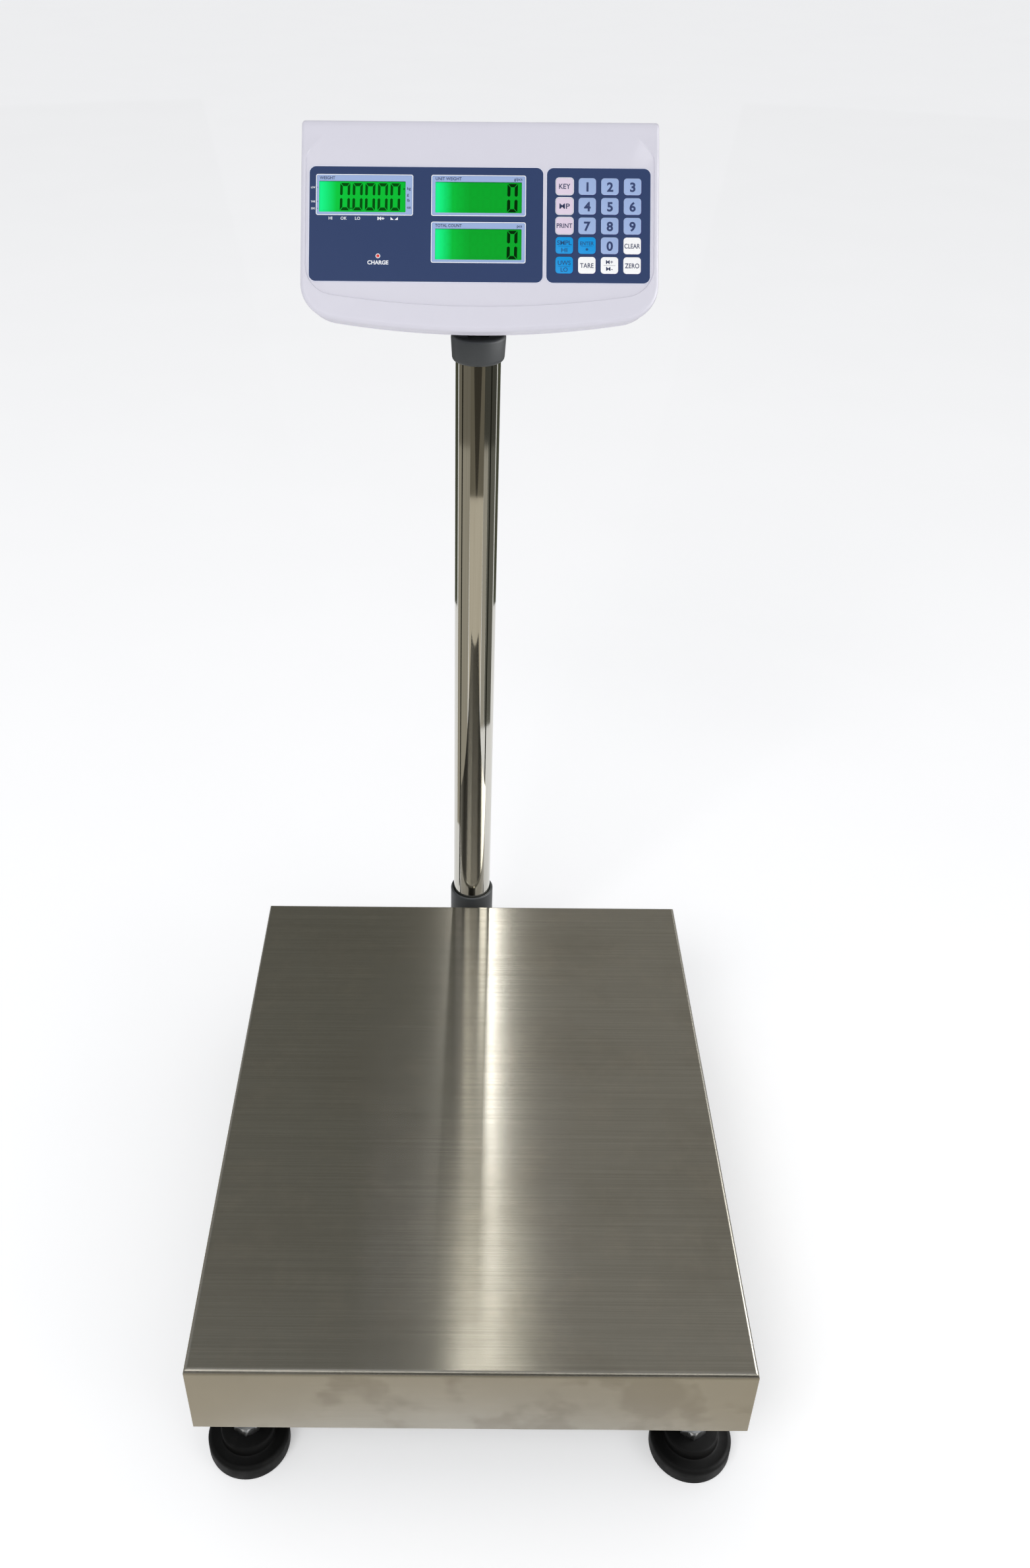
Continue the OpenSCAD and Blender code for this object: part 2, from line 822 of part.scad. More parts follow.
module bracket_screws() {
    color("silver") on_slope() for (p = BRACKET_SCREWS) {
        translate([p[0], p[1], seat_gap - 2]) {
            cylinder(h = 10, d = bracket_screw_d);
            cylinder(h = 2, d = 6.5);
        }
    }
}

module main_board() {
    color("darkgreen") on_head() difference() {
        union() {
            slab(board_front - board_t, board_front) {
                translate([-board_w / 2, board_v0]) square([board_w, board_v1 - board_v0]);
            }
            // processor, amplifier and connectors
            for (p = [[-60, -20, 14, 14], [-20, -22, 18, 8], [40, 25, 10, 24], [-100, -20, 22, 9]]) {
                slab(board_front - board_t - 3, board_front - board_t + eps) {
                    translate([p[0], p[1]]) square([p[2], p[3]], center = true);
                }
            }
        }
    }
}

module lcd_modules() {
    color("limegreen") on_head() for (p = LCDS) {
        slab(board_front, -dish - wall) translate(p) square([lcd_w + 6, lcd_h + 6], center = true);
        slab(-dish - wall - eps, -dish - 0.2) translate(p) square([lcd_w, lcd_h], center = true);
    }
}

module display_label() {
    color("slategray") on_head() slab(-dish, -dish + label_t) difference() {
        translate([display_label_x, label_v]) rounded(display_label_w, label_h, label_r);
        translate(led_at) circle(d = led_d);
    }
}

module keypad_label() {
    color("slategray") on_head() slab(-dish, -dish + label_t) difference() {
        translate([keypad_label_x, label_v]) rounded(keypad_label_w, label_h, label_r);
        for (row = [0:4]) {
            for (col = [0:3]) {
                key_place(row, col) rounded(key_w + 2 * key_gap, key_h + 2 * key_gap, key_r);
            }
        }
    }
}

module charge_led() {
    color("red") on_head() translate([led_at[0], led_at[1], board_front]) {
        cylinder(h = -board_front - dish + label_t, d = led_d - 0.2);
    }
}

module battery() {
    color("black") on_head() translate([battery_x, battery_v, -case_d + wall + 0.2]) {
        block(battery_w, battery_h, battery_t);
        for (x = [-1, 1]) {
            translate([x * (battery_w / 2 - 8), 0, battery_t - eps]) block(5, 0.8, 3);
        }
    }
}

module serial_port() {
    shell = 5;
    color("silver") on_head() translate([port_at[0], port_at[1], -case_d]) difference() {
        union() {
            slab(-shell, 8) rounded(18.4, 9.6, 2.6);
            slab(0, 8) square([port_w - 0.2, port_h - 0.2], center = true);
        }
        slab(-shell - 1, 3) rounded(17, 8.2, 2);
    }
}

module power_jack() {
    color("black") on_head() translate([jack_at[0], jack_at[1], -case_d]) difference() {
        union() {
            slab(-1.5, 12) circle(d = jack_d - 0.2);
            slab(-1.5, 0) circle(d = jack_d + 2);
        }
        slab(-2.5, 9) difference() {
            circle(d = 6.4);
            circle(d = 2);
        }
    }
}

module switch_housing() {
    color("black") on_head() translate([switch_at[0], switch_at[1], -case_d]) difference() {
        union() {
            slab(-1.8, 0) rounded(switch_w, switch_len, 1.5);
            slab(-1, 14) square([switch_w - 2.2, switch_len - 2.2], center = true);
        }
        slab(-3, 11) square([rock_w + 0.8, 2 * rock_r + 0.8], center = true);
    }
}

// Rocker at its off position, one end pressed in
module switch_rocker() {
    color("darkred") on_head() translate([switch_at[0], switch_at[1], -case_d + rock_depth]) {
        rotate([-rock / 2, 0, 0]) rotate([90, 0, 90]) translate([0, 0, -rock_w / 2]) {
            linear_extrude(rock_w) intersection() {
                circle(rock_r);
                polygon([[-10, 5], [-10, -5.6], [0, -4.2], [10, -5.6], [10, 5]]);
            }
        }
    }
}

// ---------- keypad ----------

module key_place(row, col) {
    translate([key_x0 + key_pitch_x * col, key_y0 - key_pitch_y * row]) children();
}

module key(row, col) {
    top = -dish + label_t + key_proud;
    nub_end = board_front + key_travel + 0.4;
    color("lightsteelblue") on_head() {
        slab(top - key_t, top) key_place(row, col) rounded(key_w, key_h, key_r);
        slab(nub_end, top - key_t + eps) key_place(row, col) circle(d = key_nub_d);
    }
}

// ---------- drawing ----------

// Centres the whole object front to back
module centred() {
    translate([0, -middle_y, 0]) children();
}

centred() base_frame();
centred() foot_locknuts();
centred() load_cell();
centred() lower_cell_bolts();
centred() overload_stops();
centred() pole_bracket();
centred() bracket_bolts();
centred() pole_collar();
centred() pole();
centred() pole_screw();
centred() signal_cable();
centred() upper_frame();
centred() upper_cell_bolts();
centred() pan_cushions();
centred() weighing_pan();
centred() neck();
centred() tilt_bolt();
centred() front_case();
centred() rear_case();
centred() case_screws();
centred() head_bracket();
centred() bracket_screws();
centred() main_board();
centred() lcd_modules();
centred() display_label();
centred() keypad_label();
centred() charge_led();
centred() battery();
centred() serial_port();
centred() power_jack();
centred() switch_housing();
centred() switch_rocker();
for (f = FEET) {
    centred() foot_pad(f);
    centred() foot_stud(f);
}
for (row = [0:4]) {
    for (col = [0:3]) {
        centred() key(row, col);
    }
}
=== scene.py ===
"""Looks for the platform counting scale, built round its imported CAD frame.

Lengths are in metres in the row frame: +Z up, the front looks towards -Y. Pieces on the
indicator are drawn in the head's own frame: x right, v up the face, n out of the face.
"""

import json
import math

import bmesh
import bpy
from mathutils import Matrix, Vector, noise


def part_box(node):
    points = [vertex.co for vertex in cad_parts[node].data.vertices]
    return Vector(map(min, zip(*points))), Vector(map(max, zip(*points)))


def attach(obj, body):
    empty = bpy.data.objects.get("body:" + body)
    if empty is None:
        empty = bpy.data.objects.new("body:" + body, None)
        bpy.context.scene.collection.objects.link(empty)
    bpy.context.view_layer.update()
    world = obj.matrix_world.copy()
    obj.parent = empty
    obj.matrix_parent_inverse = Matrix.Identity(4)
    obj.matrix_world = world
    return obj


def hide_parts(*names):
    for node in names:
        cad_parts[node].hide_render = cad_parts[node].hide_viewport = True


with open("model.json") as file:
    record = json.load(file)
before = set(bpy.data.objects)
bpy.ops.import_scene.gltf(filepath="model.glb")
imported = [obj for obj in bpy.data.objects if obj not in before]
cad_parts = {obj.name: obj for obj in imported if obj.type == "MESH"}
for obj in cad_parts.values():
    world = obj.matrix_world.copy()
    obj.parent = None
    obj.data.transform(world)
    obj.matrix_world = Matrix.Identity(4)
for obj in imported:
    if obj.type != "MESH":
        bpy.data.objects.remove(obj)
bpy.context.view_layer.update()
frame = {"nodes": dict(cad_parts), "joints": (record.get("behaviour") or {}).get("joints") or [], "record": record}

MM = 0.001
NODES = frame["nodes"]
JOINTS = {joint["name"]: joint for joint in frame["joints"]}


# ---------- frames and measures ----------

# The keys travel straight into the face, so their axis gives the face's direction
FACE_OUT = -Vector(JOINTS["press_0"]["axis"]).normalized()
FACE_RIGHT = Vector((1, 0, 0))
FACE_UP = FACE_OUT.cross(FACE_RIGHT)


def face_span(node):
    """Lowest and highest (x, v, n) of a CAD node along the head's directions, in metres."""
    points = [vertex.co for vertex in NODES[node].data.vertices]
    along = [[p.dot(d) for p in points] for d in (FACE_RIGHT, FACE_UP, FACE_OUT)]
    return Vector(min(a) for a in along), Vector(max(a) for a in along)


CASE_LOW, CASE_HIGH = face_span("front_case")
CASE_W = CASE_HIGH.x - CASE_LOW.x
CASE_H = CASE_HIGH.y - CASE_LOW.y
HEAD_ORIGIN = (
    FACE_RIGHT * (CASE_LOW.x + CASE_HIGH.x) / 2
    + FACE_UP * (CASE_LOW.y + CASE_HIGH.y) / 2
    + FACE_OUT * CASE_HIGH.z
)
HEAD = Matrix.Translation(HEAD_ORIGIN) @ Matrix(
    (FACE_RIGHT, FACE_UP, FACE_OUT)
).transposed().to_4x4()


def head_span(node):
    """Lowest and highest (x, v, n) of a CAD node in the head's frame."""
    low, high = face_span(node)
    start = Vector(HEAD_ORIGIN.dot(d) for d in (FACE_RIGHT, FACE_UP, FACE_OUT))
    return low - start, high - start


def middle(node):
    """Middle of a CAD node's box in the row frame."""
    low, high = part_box(node)
    return (low + high) / 2


def middle_and_size(span, grow=0.0):
    """Middle x, middle v, width and height of a span in the head's frame."""
    low, high = span
    x, v = (low.x + high.x) / 2, (low.y + high.y) / 2
    return x, v, high.x - low.x + 2 * grow, high.y - low.y + 2 * grow


def linear(r, g, b):
    """Linear colour from 8-bit sRGB values."""
    def channel(value):
        value /= 255
        return value / 12.92 if value <= 0.04045 else ((value + 0.055) / 1.055) ** 2.4
    return (channel(r), channel(g), channel(b), 1)


# ---------- materials ----------


FINISHES = {}


class Finish:
    """A material under construction: one Principled shader and the nodes that feed it."""

    def __init__(self, name, color, roughness, metallic=0.0, **constants):
        self.material = FINISHES[name] = bpy.data.materials.new(name)
        self.material.use_nodes = True
        self.tree = self.material.node_tree
        self.sockets = self.tree.nodes["Principled BSDF"].inputs
        self.color = color
        constants.update(Base_Color=color, Roughness=roughness, Metallic=metallic)
        for socket, value in constants.items():
            self.sockets[socket.replace("_", " ")].default_value = value
        self.place = self.node("TexCoord").outputs["Object"]

    def node(self, kind, feeds=None, **settings):
        """A node with its settings; each input is fed by a value or another node's output."""
        made = self.tree.nodes.new("ShaderNode" + kind)
        for key, value in settings.items():
            setattr(made, key, value)
        for socket, value in (feeds or {}).items():
            if isinstance(value, bpy.types.NodeSocket):
                self.tree.links.new(value, made.inputs[socket])
            else:
                made.inputs[socket].default_value = value
        return made

    def feed(self, socket, source):
        self.tree.links.new(source, self.sockets[socket])

    def noise(self, scale, detail=4.0, rough=0.55, stretch=(1, 1, 1)):
        """Noise from the piece's own coordinates; scale is in waves per metre."""
        mapping = self.node("Mapping", {"Scale": stretch, "Vector": self.place})
        return self.node("TexNoise", {
            "Scale": scale, "Detail": detail, "Roughness": rough,
            "Vector": mapping.outputs["Vector"],
        }).outputs["Fac"]

    def spread(self, value, low, high, start=0.3, end=0.7):
        """Maps a 0..1 value onto low..high."""
        return self.node("MapRange", {
            "Value": value, "From Min": start, "From Max": end, "To Min": low, "To Max": high,
        }).outputs["Result"]

    def times(self, first, second):
        return self.node("Math", {0: first, 1: second}, operation="MULTIPLY").outputs[0]

    def vary_color(self, value, other, amount=1.0):
        """Mixes the colour towards another one by a 0..1 value."""
        base = self.sockets["Base Color"]
        start = base.links[0].from_socket if base.is_linked else self.color
        mix = self.node(
            "Mix", {"Factor": self.times(value, amount), "A": start, "B": other}, data_type="RGBA"
        )
        self.feed("Base Color", mix.outputs["Result"])

    def vary_roughness(self, value, low, high):
        self.feed("Roughness", self.spread(value, low, high))

    def bump(self, value, depth, strength=1.0):
        """Bump of a real depth in metres."""
        feeds = {"Distance": depth, "Strength": strength, "Height": value}
        if self.sockets["Normal"].is_linked:
            feeds["Normal"] = self.sockets["Normal"].links[0].from_socket
        self.feed("Normal", self.node("Bump", feeds).outputs["Normal"])


def darker(color, share):
    return tuple(c * share for c in color[:3]) + (1,)


def moulded_plastic(name, color, roughness, grain, depth, tint=0.06):
    """Moulded plastic with a fine spark-eroded grain and slight unevenness."""
    made = Finish(name, color, roughness)
    made.bump(made.noise(grain, 3.0), depth)
    made.vary_roughness(made.noise(60, 3.0), roughness - 0.05, roughness + 0.06)
    made.vary_color(made.spread(made.noise(25, 4.0), 0, 1), darker(color, 0.8), tint)
    return made.material


def printed(name, color, roughness=0.3, tint=0.04, shine=0.2):
    """Ink on the back of a clear overlay: even colour, faint mottling."""
    made = Finish(name, color, roughness, Specular_IOR_Level=shine)
    made.vary_color(made.spread(made.noise(300, 2.0), 0, 1), darker(color, 0.7), tint)
    made.vary_roughness(made.noise(700, 3.0), roughness - 0.01, roughness + 0.02)
    made.bump(made.noise(2600, 2.0), 0.000004)
    return made.material


def brushed_pan():
    """Brushed stainless sheet: the grain runs across the width, with faint stains; the skirt is painted lighter, a
    painted reflection of the bright floor.
    """
    made = Finish(
        "pan_stainless", linear(166, 163, 154), 0.21, 1.0, Anisotropic=1.0,
        Anisotropic_Rotation=0.25,
    )
    made.feed("Tangent", made.node("Tangent", direction_type="UV_MAP").outputs["Tangent"])
    grain = made.noise(1.0, 3.0, 0.6, (6, 1100, 1100))
    stains = made.noise(9, 5.0, 0.62)
    blotches = made.noise(38, 4.0, 0.6)
    made.vary_color(made.spread(stains, 0, 1, 0.42, 0.66), linear(132, 126, 112), 0.35)
    made.vary_color(made.spread(blotches, 0, 1, 0.5, 0.7), linear(186, 178, 164), 0.2)
    made.vary_color(made.spread(grain, 0, 1, 0.35, 0.65), linear(124, 120, 110), 0.3)
    made.vary_roughness(stains, 0.19, 0.23)
    made.bump(grain, 0.000003, 0.5)
    made.bump(made.noise(7, 2.0), 0.0002, 0.5)
    # the skirt painted lighter than the top, a painted reflection of the bright floor it faces; handling marks on
    # the skirt only
    height = made.node("SeparateXYZ", {"Vector": made.place}).outputs["Z"]
    skirt_reflection_and_marks = made.spread(height, 1, 0, PAN_TOP - 5 * MM, PAN_TOP - 3 * MM)
    made.vary_color(skirt_reflection_and_marks, linear(196, 192, 183), 0.6)
    marks = made.spread(made.noise(13, 5.0, 0.6), 0, 1, 0.5, 0.58)
    made.vary_color(made.times(skirt_reflection_and_marks, marks), linear(124, 116, 104), 0.28)
    return made.material


def mirror_steel():
    """Polished tube: nearly a mirror, with faint long scratches and smudges."""
    made = Finish("pole_stainless", linear(206, 204, 196), 0.05, 1.0)
    scratches = made.noise(1.0, 3.0, 0.6, (1500, 1500, 7))
    made.vary_roughness(made.noise(22, 4.0), 0.035, 0.08)
    made.vary_color(made.spread(scratches, 0, 1, 0.45, 0.7), linear(176, 172, 160), 0.3)
    made.bump(scratches, 0.0000012, 0.5)
    return made.material


def plated_steel(name, color, roughness):
    """Zinc-plated or tinned steel: uneven sheen and small marks."""
    made = Finish(name, color, roughness, 1.0)
    made.vary_roughness(made.noise(140, 4.0), roughness - 0.07, roughness + 0.12)
    made.vary_color(made.spread(made.noise(220, 4.0), 0, 1), darker(color, 0.75), 0.3)
    made.bump(made.noise(900, 3.0), 0.00001)
    return made.material


def stoved_paint():
    """Grey stoved paint on welded tube: orange peel and a little pale dust."""
    made = Finish("frame_paint", linear(78, 80, 82), 0.42)
    made.bump(made.noise(420, 2.0), 0.00004, 0.5)
    made.vary_color(made.spread(made.noise(14, 5.0), 0, 1, 0.45, 0.7), linear(104, 104, 102), 0.3)
    made.vary_roughness(made.noise(30, 4.0), 0.36, 0.52)
    return made.material


def moulded_rubber():
    """Dull black rubber with a fine grain and pale scuffs."""
    made = Finish("foot_rubber", linear(9, 9, 9), 0.7, Specular_IOR_Level=0.15)
    made.bump(made.noise(1400, 4.0), 0.00003)
    scuffs = made.spread(made.noise(70, 5.0, 0.65), 0, 1, 0.55, 0.75)
    made.vary_color(scuffs, linear(34, 33, 32), 0.3)
    made.vary_roughness(made.noise(90, 4.0), 0.5, 0.72)
    return made.material


def backlit_lcd(name, glow):
    """Green LCD lit from its left end: pale there, then green, then a deeper green."""
    made = Finish(
        name, linear(0, 142, 33), 0.3, Specular_IOR_Level=0.06, Emission_Strength=glow
    )
    across = made.node("SeparateXYZ", {"Vector": made.place}).outputs["X"]
    for (left, right), rest in zip(LCD_ENDS, (linear(0, 162, 42), linear(0, 142, 33))):
        inside = made.node(
            "Math", {0: across, 1: (left + right) / 2, 2: (right - left) / 2 + 2 * MM},
            operation="COMPARE",
        ).outputs[0]
        made.vary_color(inside, rest)
        for reach, color in ((0.4, linear(0, 180, 58)), (0.2, linear(16, 216, 124))):
            ramp = made.spread(across, 1, 0, left, left + reach * (right - left))
            made.vary_color(made.times(ramp, inside), color)
    made.feed("Emission Color", made.sockets["Base Color"].links[0].from_socket)
    return made.material


# ---------- mesh helpers ----------


def add_object(name, data, materials=(), place=None):
    """An object in the scene with its materials, at its place."""
    made = bpy.data.objects.new(name, data)
    bpy.context.scene.collection.objects.link(made)
    for material in materials:
        data.materials.append(material)
    if place is not None:
        made.matrix_world = place
    return made


def finish_mesh(name, build, material, smooth_angle=35, place=None):
    """Makes an object from a bmesh, smooth except at edges sharper than the given angle."""
    bmesh.ops.remove_doubles(build, verts=build.verts, dist=1e-7)
    bmesh.ops.recalc_face_normals(build, faces=build.faces)
    mesh = bpy.data.meshes.new(name)
    limit = math.radians(smooth_angle)
    for face in build.faces:
        face.smooth = True
    for edge in build.edges:
        if len(edge.link_faces) == 2 and edge.calc_face_angle(0) > limit:
            edge.smooth = False
    build.to_mesh(mesh)
    build.free()
    return add_object(name, mesh, [material], place)


def dress(piece, body, slot, *replaced):
    """Rides a piece on its body and hides the CAD nodes it stands for; the slot is not used."""
    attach(piece, body)
    if replaced:
        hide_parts(*replaced)
    return piece


def lathe(build, profile, steps, centre=(0, 0), closed=True):
    """Turns a profile of (radius, height) round a vertical line; ends on the axis are closed."""
    rings = [
        ring_at(build, circle(*centre, radius, steps) if radius else [centre], height)
        for radius, height in profile
    ]
    for low, high in zip(rings, rings[1:] + (rings[:1] if closed else [])):
        bridge(build, low, high)


def bridge(build, low, high):
    """Quads between two rings of the same count, or triangles to a single point."""
    count = max(len(low), len(high))
    if len(low) == len(high) == 1:
        return
    for i in range(count):
        j = (i + 1) % count
        if len(low) == 1:
            build.faces.new((low[0], high[j], high[i]))
        elif len(high) == 1:
            build.faces.new((low[i], low[j], high[0]))
        else:
            build.faces.new((low[i], low[j], high[j], high[i]))


def arc_points(cx, cy, radius, first, last, steps):
    """Points of an arc between two angles in degrees."""
    angles = [math.radians(first + (last - first) * i / steps) for i in range(steps + 1)]
    return [(cx + radius * math.cos(a), cy + radius * math.sin(a)) for a in angles]


def circle(cx, cy, radius, count=30):
    return arc_points(cx, cy, radius, 0, 360 - 360 / count, count - 1)


def rounded_rectangle(w, h, radius, x, y, steps):
    """Outline of a rectangle with round corners, anticlockwise."""
    a, b = w / 2 - radius, h / 2 - radius
    corners = ((x + a, y + b), (x - a, y + b), (x - a, y - b), (x + a, y - b))
    return [
        point for i, corner in enumerate(corners)
        for point in arc_points(*corner, radius, 90 * i, 90 * i + 90, steps)
    ]


def rounded_area(area, margin, radius, steps=6):
    """Rounded rectangle in an (x, v, w, h) area; it is smaller by the margin, given in mm."""
    x, v, w, h = area
    return rounded_rectangle(w - margin * MM, h - margin * MM, radius * MM, x, v, steps)


def plate(build, outline, low, high, bevel=0.0, holes=()):
    """Flat plate between two depths with an optional round upper edge, or with holes through it."""
    if holes:
        top, bottom = (fill_with_holes(build, [outline, *holes], z) for z in (high, low))
        for upper, lower in zip(top, bottom):
            wall(build, lower, upper)
        return
    cx = sum(p[0] for p in outline) / len(outline)
    cy = sum(p[1] for p in outline) / len(outline)
    half_w = max(abs(p[0] - cx) for p in outline)
    half_h = max(abs(p[1] - cy) for p in outline)
    rings = [ring_at(build, outline, low)]
    for inset, drop in rounding(bevel, (0, 22.5, 45, 67.5, 90) if bevel else (90,)):
        shrink_x, shrink_y = 1 - inset / half_w, 1 - inset / half_h
        ring = [(cx + (x - cx) * shrink_x, cy + (y - cy) * shrink_y) for x, y in outline]
        rings.append(ring_at(build, ring, high - drop))
    stack(build, rings)


def rounding(radius, angles):
    """(inset, drop) of points on a round edge, by their angles in degrees from its foot."""
    turns = [math.radians(angle) for angle in angles]
    return [(radius * (1 - math.cos(turn)), radius * (1 - math.sin(turn))) for turn in turns]


def ring_at(build, outline, z):
    return [build.verts.new((x, y, z)) for x, y in outline]


def wall(build, lower, upper):
    for i in range(len(lower)):
        j = (i + 1) % len(lower)
        build.faces.new((lower[i], lower[j], upper[j], upper[i]))


def stack(build, rings):
    """Walls between rings, one over another, closed at both ends."""
    for lower, upper in zip(rings, rings[1:]):
        wall(build, lower, upper)
    build.faces.new(rings[-1])
    build.faces.new(list(reversed(rings[0])))


def fill_with_holes(build, loops, depth):
    """Flat face with holes at a depth; returns the loops' vertices."""
    rings = [ring_at(build, loop, depth) for loop in loops]
    edges = [build.edges.new(pair) for ring in rings for pair in zip(ring, ring[1:] + ring[:1])]
    bmesh.ops.triangle_fill(build, edges=edges, use_beauty=True)
    return rings


def face_piece(name, material, *shapes):
    """One object in the head's frame from (outline, low, high, bevel, holes) shapes."""
    build = bmesh.new()
    for outline, low, high, *rest in shapes:
        plate(build, outline, low, high, *rest)
    return finish_mesh(name, build, material, place=HEAD)


def lettering(name, text, x, v, cap, material, depth, weight=0.0, width=None, align="CENTER"):
    """A printed word as a thin raised mesh in the head's frame; cap is its capital height."""
    curve = bpy.data.curves.new(name, "FONT")
    curve.body = text
    curve.size = cap / 0.729
    curve.align_x = align
    curve.offset = weight * cap
    curve.resolution_u = 5
    curve.extrude = 0.00001
    typed = add_object(name + "_typed", curve)
    bpy.context.view_layer.update()
    mesh = bpy.data.meshes.new_from_object(typed)
    bpy.data.objects.remove(typed)
    bpy.data.curves.remove(curve)
    xs = [vertex.co.x for vertex in mesh.vertices]
    squeeze = width / (max(xs) - min(xs)) if width else 1.0
    start = 0.0 if align == "LEFT" else max(xs) if align == "RIGHT" else (max(xs) + min(xs)) / 2
    for vertex in mesh.vertices:
        vertex.co = Vector((
            x + (vertex.co.x - start) * squeeze,
            v + vertex.co.y - cap / 2,
            depth + vertex.co.z,
        ))
    mesh.materials.clear()
    return add_object(name, mesh, [material], HEAD)


def merge(name, pieces):
    """Joins meshes that share one frame and keeps their materials."""
    build = bmesh.new()
    materials = []
    for piece in pieces:
        first = len(build.faces)
        build.from_mesh(piece.data)
        build.faces.ensure_lookup_table()
        used = list(piece.data.materials)
        for material in used:
            if material not in materials:
                materials.append(material)
        for face in build.faces[first:]:
            face.material_index = materials.index(used[min(face.material_index, len(used) - 1)])
    place = pieces[0].matrix_world.copy()
    for piece in pieces:
        mesh = piece.data
        bpy.data.objects.remove(piece)
        bpy.data.meshes.remove(mesh)
    mesh = bpy.data.meshes.new(name)
    build.to_mesh(mesh)
    build.free()
    return add_object(name, mesh, materials, place)


# ---------- outlines of the case ----------

EDGE = 3.0 * MM            # rounding of the front shell's edge
FRONT_DEPTH = CASE_HIGH.z - CASE_LOW.z
DRAFT = 2.6 * MM           # both shells narrow this much towards the parting line
BOTTOM_BOW = 711 * MM      # radius of the case's shallow bottom arc
LOWER_CORNER = 28 * MM
UPPER_CORNER = 4 * MM
PANEL_HALF_W = 129.8 * MM  # the flat panel that the raised border runs round
PANEL_BOTTOM = -61 * MM
PANEL_BOW = 769 * MM
PANEL_CORNER = 22 * MM
PANEL_DEPTH = 1.2 * MM
STEP_WIDTH = 0.7 * MM
SHOULDER = 48 * MM         # where the panel's sides start to turn in
SHOULDER_R = 11 * MM
SHOULDER_TURN = 43         # degrees
SHOULDER_RUN = 10.5 * MM
RAY_CENTRE = 8 * MM        # height up the face from which the outlines are resampled


def bowl(half_w, bottom, bow, corner, inset):
    """The lower arcs of an outline: shallow bottom with its right corner, and its left corner."""
    corner_x = half_w - corner
    bow_y = bottom + bow
    corner_y = bow_y - math.sqrt((bow - corner) ** 2 - corner_x ** 2)
    lean = math.degrees(math.asin(corner_x / (bow - corner)))
    return (
        arc_points(0, bow_y, bow - inset, 270 - lean, 270 + lean, 24)
        + arc_points(corner_x, corner_y, corner - inset, 270 + lean + 6, 360, 12),
        arc_points(-corner_x, corner_y, corner - inset, 180, 270 - lean - 6, 12),
    )


def case_outline(inset=0.0):
    """The case's edge: a shallow bottom arc, large lower corners and small upper ones."""
    lower, left = bowl(CASE_W / 2, -CASE_H / 2, BOTTOM_BOW, LOWER_CORNER, inset)
    upper_r = max(UPPER_CORNER - inset, 0.2 * MM)
    upper_x, upper_y = CASE_W / 2 - inset - upper_r, CASE_H / 2 - inset - upper_r
    return (
        lower + arc_points(upper_x, upper_y, upper_r, 0, 90, 8)
        + arc_points(-upper_x, upper_y, upper_r, 90, 180, 8) + left
    )


def panel_outline(inset=0.0):
    """The panel's edge: up each side, in along a slanting shoulder, then up to the plain top."""
    lower, left = bowl(PANEL_HALF_W, PANEL_BOTTOM, PANEL_BOW, PANEL_CORNER, inset)
    turn = math.radians(SHOULDER_TURN)
    sine, cosine = math.sin(turn), math.cos(turn)
    outer = (
        PANEL_HALF_W - SHOULDER_R * (1 - cosine) - SHOULDER_RUN * sine,
        SHOULDER + SHOULDER_R * sine + SHOULDER_RUN * cosine,
    )
    right = arc_points(
        PANEL_HALF_W - SHOULDER_R, SHOULDER, SHOULDER_R - inset, 0, SHOULDER_TURN, 8
    ) + arc_points(
        outer[0] + SHOULDER_R * cosine, outer[1] + SHOULDER_R * sine,
        SHOULDER_R + inset, 180 + SHOULDER_TURN, 180, 8,
    )
    return lower + right + [(-x, y) for x, y in reversed(right)] + left


def matched(outlines):
    """Resamples outlines along the same rays from a centre, so that their points pair up."""
    angles = sorted({
        round(math.atan2(y - RAY_CENTRE, x), 6)
        for outline in outlines[:1] + outlines[-1:]
        for x, y in outline
    })
    kept = [a for a, b in zip(angles, angles[1:] + [angles[0] + 2 * math.pi]) if b - a > 2e-4]
    rings = []
    for outline in outlines:
        ring = []
        sides = list(zip(outline, outline[1:] + outline[:1]))
        for angle in kept:
            dx, dy = math.cos(angle), math.sin(angle)
            best = 0.0
            for (x0, y0), (x1, y1) in sides:
                ex, ey = x1 - x0, y1 - y0
                cross = dx * ey - dy * ex
                if abs(cross) < 1e-15:
                    continue
                reach = (x0 * ey - (y0 - RAY_CENTRE) * ex) / cross
                along = (x0 * dy - (y0 - RAY_CENTRE) * dx) / cross
                if reach > 0 and -1e-6 <= along <= 1 + 1e-6:
                    best = max(best, reach)
            ring.append((best * dx, RAY_CENTRE + best * dy))
        rings.append(ring)
    return rings


def border_height(x, v):
    """The raised border stands PANEL_DEPTH over the panel, and fades out at the upper corners."""
    fade = min(max((v - 45 * MM) / (24 * MM), 0), 1)
    return -PANEL_DEPTH * fade * fade * (3 - 2 * fade)


TOP_LIP = 7.5 * MM
TOP_DROP = 2.4 * MM


def top_lip(v):
    """The face curves back towards its top edge."""
    start = CASE_H / 2 - TOP_LIP
    if v <= start:
        return 0.0
    part = min((v - start) / TOP_LIP, 1)
    return -TOP_DROP * (1 - math.sqrt(max(1 - 0.96 * part * part, 0)))


def window(span, clearance=0.0):
    """Outline of a rectangular opening for a CAD node."""
    return rounded_area(middle_and_size(span, clearance), 0, 0.4, 2)


# ---------- measures read from the frame ----------

KEY_ROWS = [
    ["key_code", "key_1", "key_2", "key_3"],
    ["key_memory_plus", "key_4", "key_5", "key_6"],
    ["key_print", "key_7", "key_8", "key_9"],
    ["key_sample", "key_point", "key_0", "key_clear"],
    ["key_unit_weight", "key_tare", "key_memory_clear", "key_zero"],
]
KEYS = [name for row in KEY_ROWS for name in row]
KEY_SPAN = {name: head_span(name) for name in KEYS}
KEY_GAP = 0.35 * MM
LABEL_R = 5 * MM


